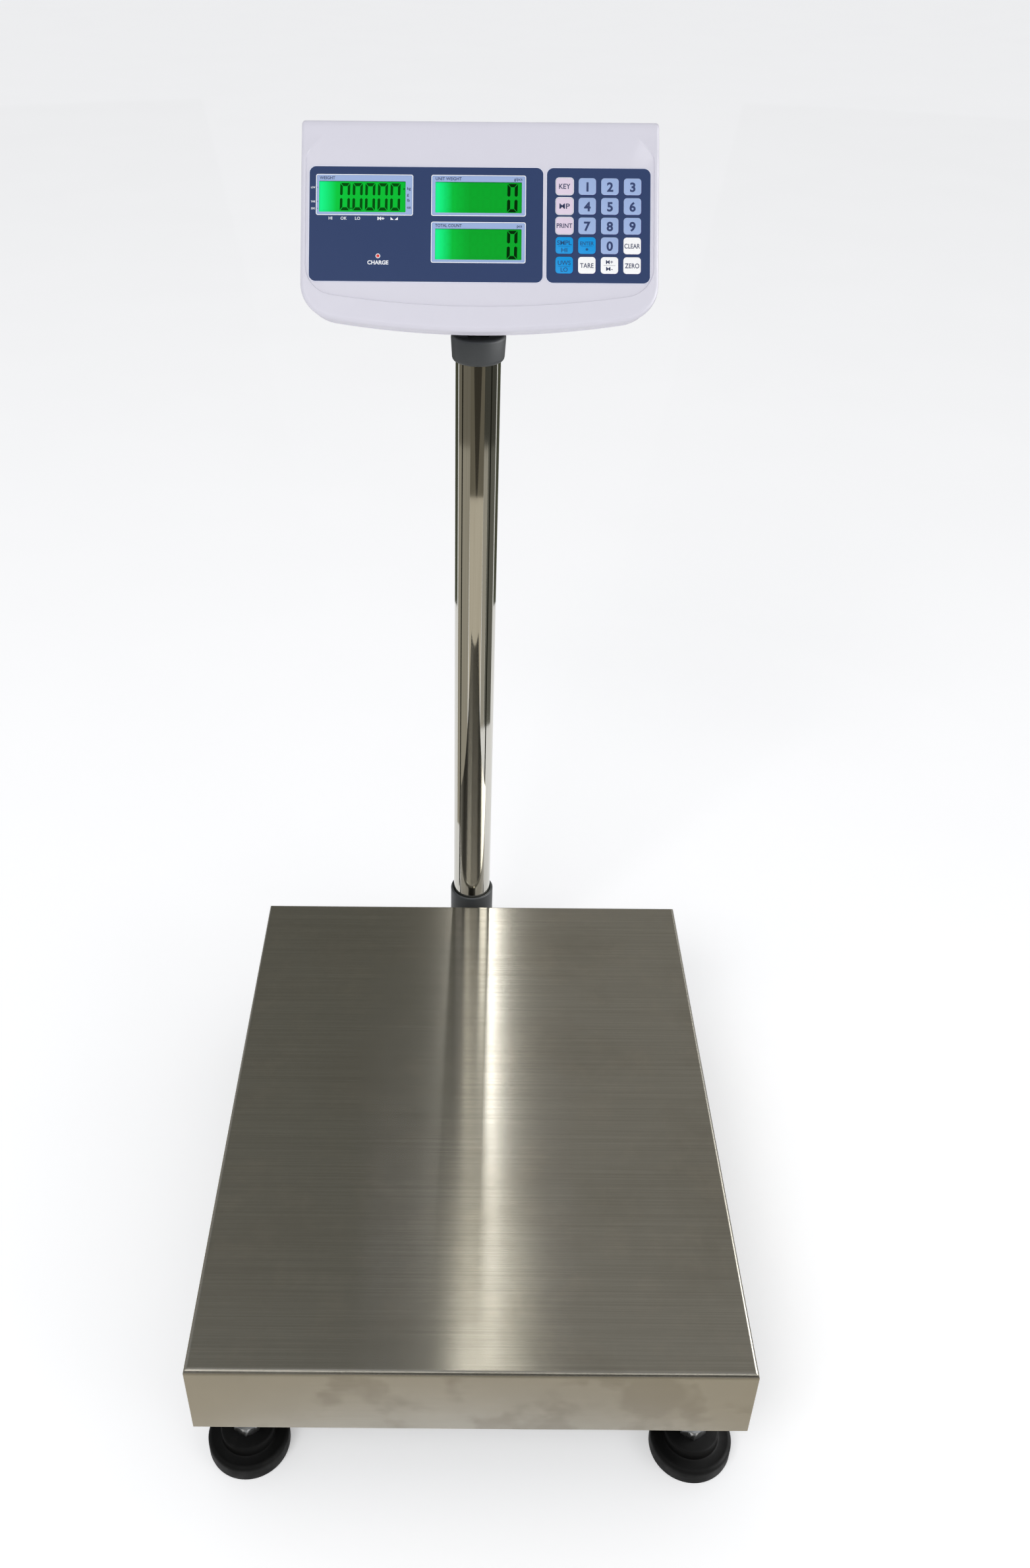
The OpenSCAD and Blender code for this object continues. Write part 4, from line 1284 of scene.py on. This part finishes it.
def foot(corner, body):
    """Rubber pad with a rolled rim and a raised hub, on its threaded stud."""
    pad, stud = "foot_pad_" + corner, "foot_stud_" + corner
    low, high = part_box(pad)
    radius = (high.x - low.x) / 2
    centre = middle(pad).xy
    rim, hub = 15 * MM, 0.66 * radius
    profile = [(0, 0.0), (radius - 1.2 * MM, 0.0), (radius - 0.3 * MM, 0.5 * MM)]
    profile += [(radius, 2 * MM), (radius, rim - 4 * MM)]
    profile += [
        (radius - inset, rim - drop) for inset, drop in rounding(3.4 * MM, (15, 35, 55, 75, 90))
    ]
    profile += [
        (hub + 1.5 * MM, rim - 0.4 * MM), (hub + 0.3 * MM, rim + 0.4 * MM), (hub, rim + 2 * MM),
        (hub, high.z - 1.6 * MM), (hub - 0.5 * MM, high.z - 0.5 * MM), (hub - 1.6 * MM, high.z),
        (6.1 * MM, high.z), (6.1 * MM, high.z - 3 * MM), (0, high.z - 3 * MM),
    ]
    build = bmesh.new()
    lathe(build, profile, 96, centre, closed=False)
    dress(finish_mesh("pad_" + corner, build, RUBBER, 45), body, "foot_rubber", pad)
    build = bmesh.new()
    threaded_rod(build, 5.98 * MM, high.z - 2.5 * MM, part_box(stud)[1].z, 1.75 * MM, centre)
    hexagon(build, 19.2 * MM, high.z, high.z + 8 * MM, centre)
    dress(finish_mesh("stud_" + corner, build, ZINC, 30), body, "zinc_steel", stud)


for corner_name, body_name in (
    ("fl", "foot_front_left"), ("fr", "foot_front_right"),
    ("rl", "foot_rear_left"), ("rr", "foot_rear_right"),
):
    foot(corner_name, body_name)


# ---------- stage, light and camera ----------


def stage_plane(name, corners, material):
    build = bmesh.new()
    build.faces.new([build.verts.new(c) for c in corners])
    made = finish_mesh(name, build, material)
    return made


def area_light(name, place, aim, size, power):
    light = bpy.data.lights.new(name, "AREA")
    light.shape = "RECTANGLE"
    light.size = light.size_y = size
    light.energy = power
    made = add_object(name, light)
    made.location = place
    made.rotation_euler = (Vector(aim) - Vector(place)).to_track_quat("-Z", "Y").to_euler()


def glossy_card(name, corners, shade):
    """A studio flag that only mirror reflections see."""
    card = Finish(
        "stage_" + name, (0, 0, 0, 1), 1.0, Specular_IOR_Level=0.0,
        Emission_Color=(*shade, 1), Emission_Strength=1.0,
    )
    made = stage_plane(name, corners, card.material)
    made.visible_camera = made.visible_diffuse = made.visible_shadow = False
    made.visible_transmission = False
    return made


def round_pole(reach, bearing):
    """Where a distance from the pole and a bearing from the front, in degrees, lead."""
    turn = math.radians(bearing)
    return POLE_AT[0] + reach * math.sin(turn), POLE_AT[1] - reach * math.cos(turn)


def floor_sector(name, first, last, near, far, shade, narrow=1.0, level=1.5 * MM):
    """A flag on the floor round the pole, between two bearings."""
    mid, half = (first + last) / 2, (last - first) / 2
    shares = [i / 6 - 1 for i in range(13)]
    corners = [round_pole(near, mid + half * narrow * share) for share in shares]
    corners += [round_pole(far, mid + half * share) for share in reversed(shares)]
    return glossy_card(name, [(*corner, level) for corner in corners], shade)


def wall_sector(name, first, last, low, high, shade):
    """A curved flag round the pole, between two bearings."""
    reach = 2.3
    ends = [round_pole(reach, first + (last - first) * i / 10) for i in range(11)]
    for i, (start, end) in enumerate(zip(ends, ends[1:])):
        corners = [(*start, low), (*end, low), (*end, high), (*start, high)]
        glossy_card(f"{name}_{i}", corners, shade)


def studio():
    floor = Finish(
        "stage_floor", (0.93, 0.93, 0.935, 1), 0.8, Specular_IOR_Level=0.1,
        Emission_Color=(1, 1, 1, 1), Emission_Strength=0.34,
    )
    floor.vary_color(floor.spread(floor.noise(3, 3.0), 0, 1), (0.9, 0.9, 0.905, 1), 0.5)
    reach = 40.0
    stage_plane(
        "floor", [(-reach, -reach, 0), (reach, -reach, 0), (reach, reach, 0), (-reach, reach, 0)],
        floor.material,
    )
    world = bpy.data.worlds.new("studio")
    bpy.context.scene.world = world
    world.use_nodes = True
    backdrop = world.node_tree.nodes["Background"]
    backdrop.inputs["Color"].default_value = (0.97, 0.98, 1.0, 1)
    backdrop.inputs["Strength"].default_value = 0.56


def reflections():
    """Flags and one strip light that give the pole and the pan something to mirror."""
    for card in (
        (
            "flag_back", [(-2.5, 2.6, 0), (0.04, 2.6, 0), (0.04, 2.0, 6.5), (-2.5, 2.0, 6.5)],
            (0.19, 0.19, 0.165),
        ),
        (
            "flag_back_right", [(0.04, 2.6, 0), (2.5, 2.6, 0), (2.5, 2.0, 6.5), (0.04, 2.0, 6.5)],
            (0.38, 0.37, 0.34),
        ),
        (
            "strip_low",
            [(0.02, 2.1, 1.0), (0.08, 2.1, 1.0), (0.07, 1.98, 3.2), (0.015, 1.98, 3.2)],
            (10.5, 10.5, 10.4),
        ),
        (
            "strip_back",
            [(-0.03, 1.98, 3.2), (0.04, 1.98, 3.2), (0.04, 1.9, 6.6), (-0.03, 1.9, 6.6)],
            (4.2, 4.1, 3.8),
        ),
        (
            "glow_back", [(0.04, 1.98, 3.3), (0.24, 1.98, 3.3), (0.24, 1.9, 6.6), (0.04, 1.9, 6.6)],
            (2.4, 2.35, 2.1),
        ),
        (
            "side_box", [(2.4, -1.4, 0.4), (2.4, 1.4, 0.4), (2.4, 1.4, 2.6), (2.4, -1.4, 2.6)],
            (7.0, 7.0, 7.0),
        ),
    ):
        glossy_card(*card)
    wall_sector("front_box", -40, 40, 2.6, 3.3, (4.0, 3.95, 3.8))
    wall_sector("front_dark", -66, 52, 0.45, 2.38, (0.03, 0.03, 0.025))
    for sector in (
        ("flag_front", -34, 34, 1.35, 5, (0.05, 0.045, 0.035), 0.12),
        ("flag_front_mid", -36, 36, 0.6, 1.35, (0.62, 0.57, 0.47), 0.9),
        ("flag_front_wide", -38, 38, 1.35, 6, (0.17, 0.155, 0.12), 0.95, 1 * MM),
        ("flag_left", -112, -36, 0.32, 1.6, (0.4, 0.375, 0.315), 0.9),
        ("flag_left_far", -112, -36, 1.6, 6, (0.2, 0.185, 0.15)),
        ("flag_right", 36, 60, 0.55, 1.6, (0.44, 0.42, 0.37), 0.9),
        ("flag_right_side", 60, 112, 0.55, 1.6, (0.15, 0.15, 0.13)),
        ("flag_right_far", 36, 112, 1.6, 6, (0.07, 0.07, 0.06)),
        ("flag_left_line", -88, -80, 0.2, 6, (0.015, 0.015, 0.01), 1.0, 2 * MM),
        ("flag_right_line", 70, 78, 0.3, 6, (0.02, 0.02, 0.015), 1.0, 2 * MM),
        ("flag_left_back", -168, -118, 0.9, 6, (0.08, 0.085, 0.06), 0.9),
        ("flag_right_back", 118, 168, 0.9, 6, (0.08, 0.085, 0.06), 0.9),
    ):
        floor_sector(*sector)


studio()
reflections()
area_light("key_light", (-1.2, -2.2, 2.9), (0, 0, 0.5), 1.5, 34)
area_light("fill_light", (2.0, -1.6, 1.4), (0, 0, 0.5), 1.2, 7)

CAMERA_FROM_PAN = Vector((-7.5, -785.1, 873.4)) * MM
CAMERA_DOWN = 35.03        # degrees
CAMERA_ROLL = 0.47
FOCAL = 2063.2             # in heights of a 2380 high frame
FRAME_H = 2380
FRAME_W = 1563
VIEW_SHIFT = FRAME_W / 2 - 706.0

camera = bpy.data.cameras.new("camera")
camera.sensor_fit = "VERTICAL"
camera.sensor_height = 36
camera.lens = FOCAL / FRAME_H * camera.sensor_height
camera.shift_x = VIEW_SHIFT / FRAME_H
camera.clip_start = 0.02
bpy.context.scene.camera = add_object("camera", camera, place=(
    Matrix.Translation(Vector((PAN_MID.x, PAN_MID.y, PAN_TOP)) + CAMERA_FROM_PAN)
    @ Matrix.Rotation(math.radians(90 - CAMERA_DOWN), 4, "X")
    @ Matrix.Rotation(math.radians(CAMERA_ROLL), 4, "Z")
))
bpy.context.scene.view_settings.view_transform = "Standard"
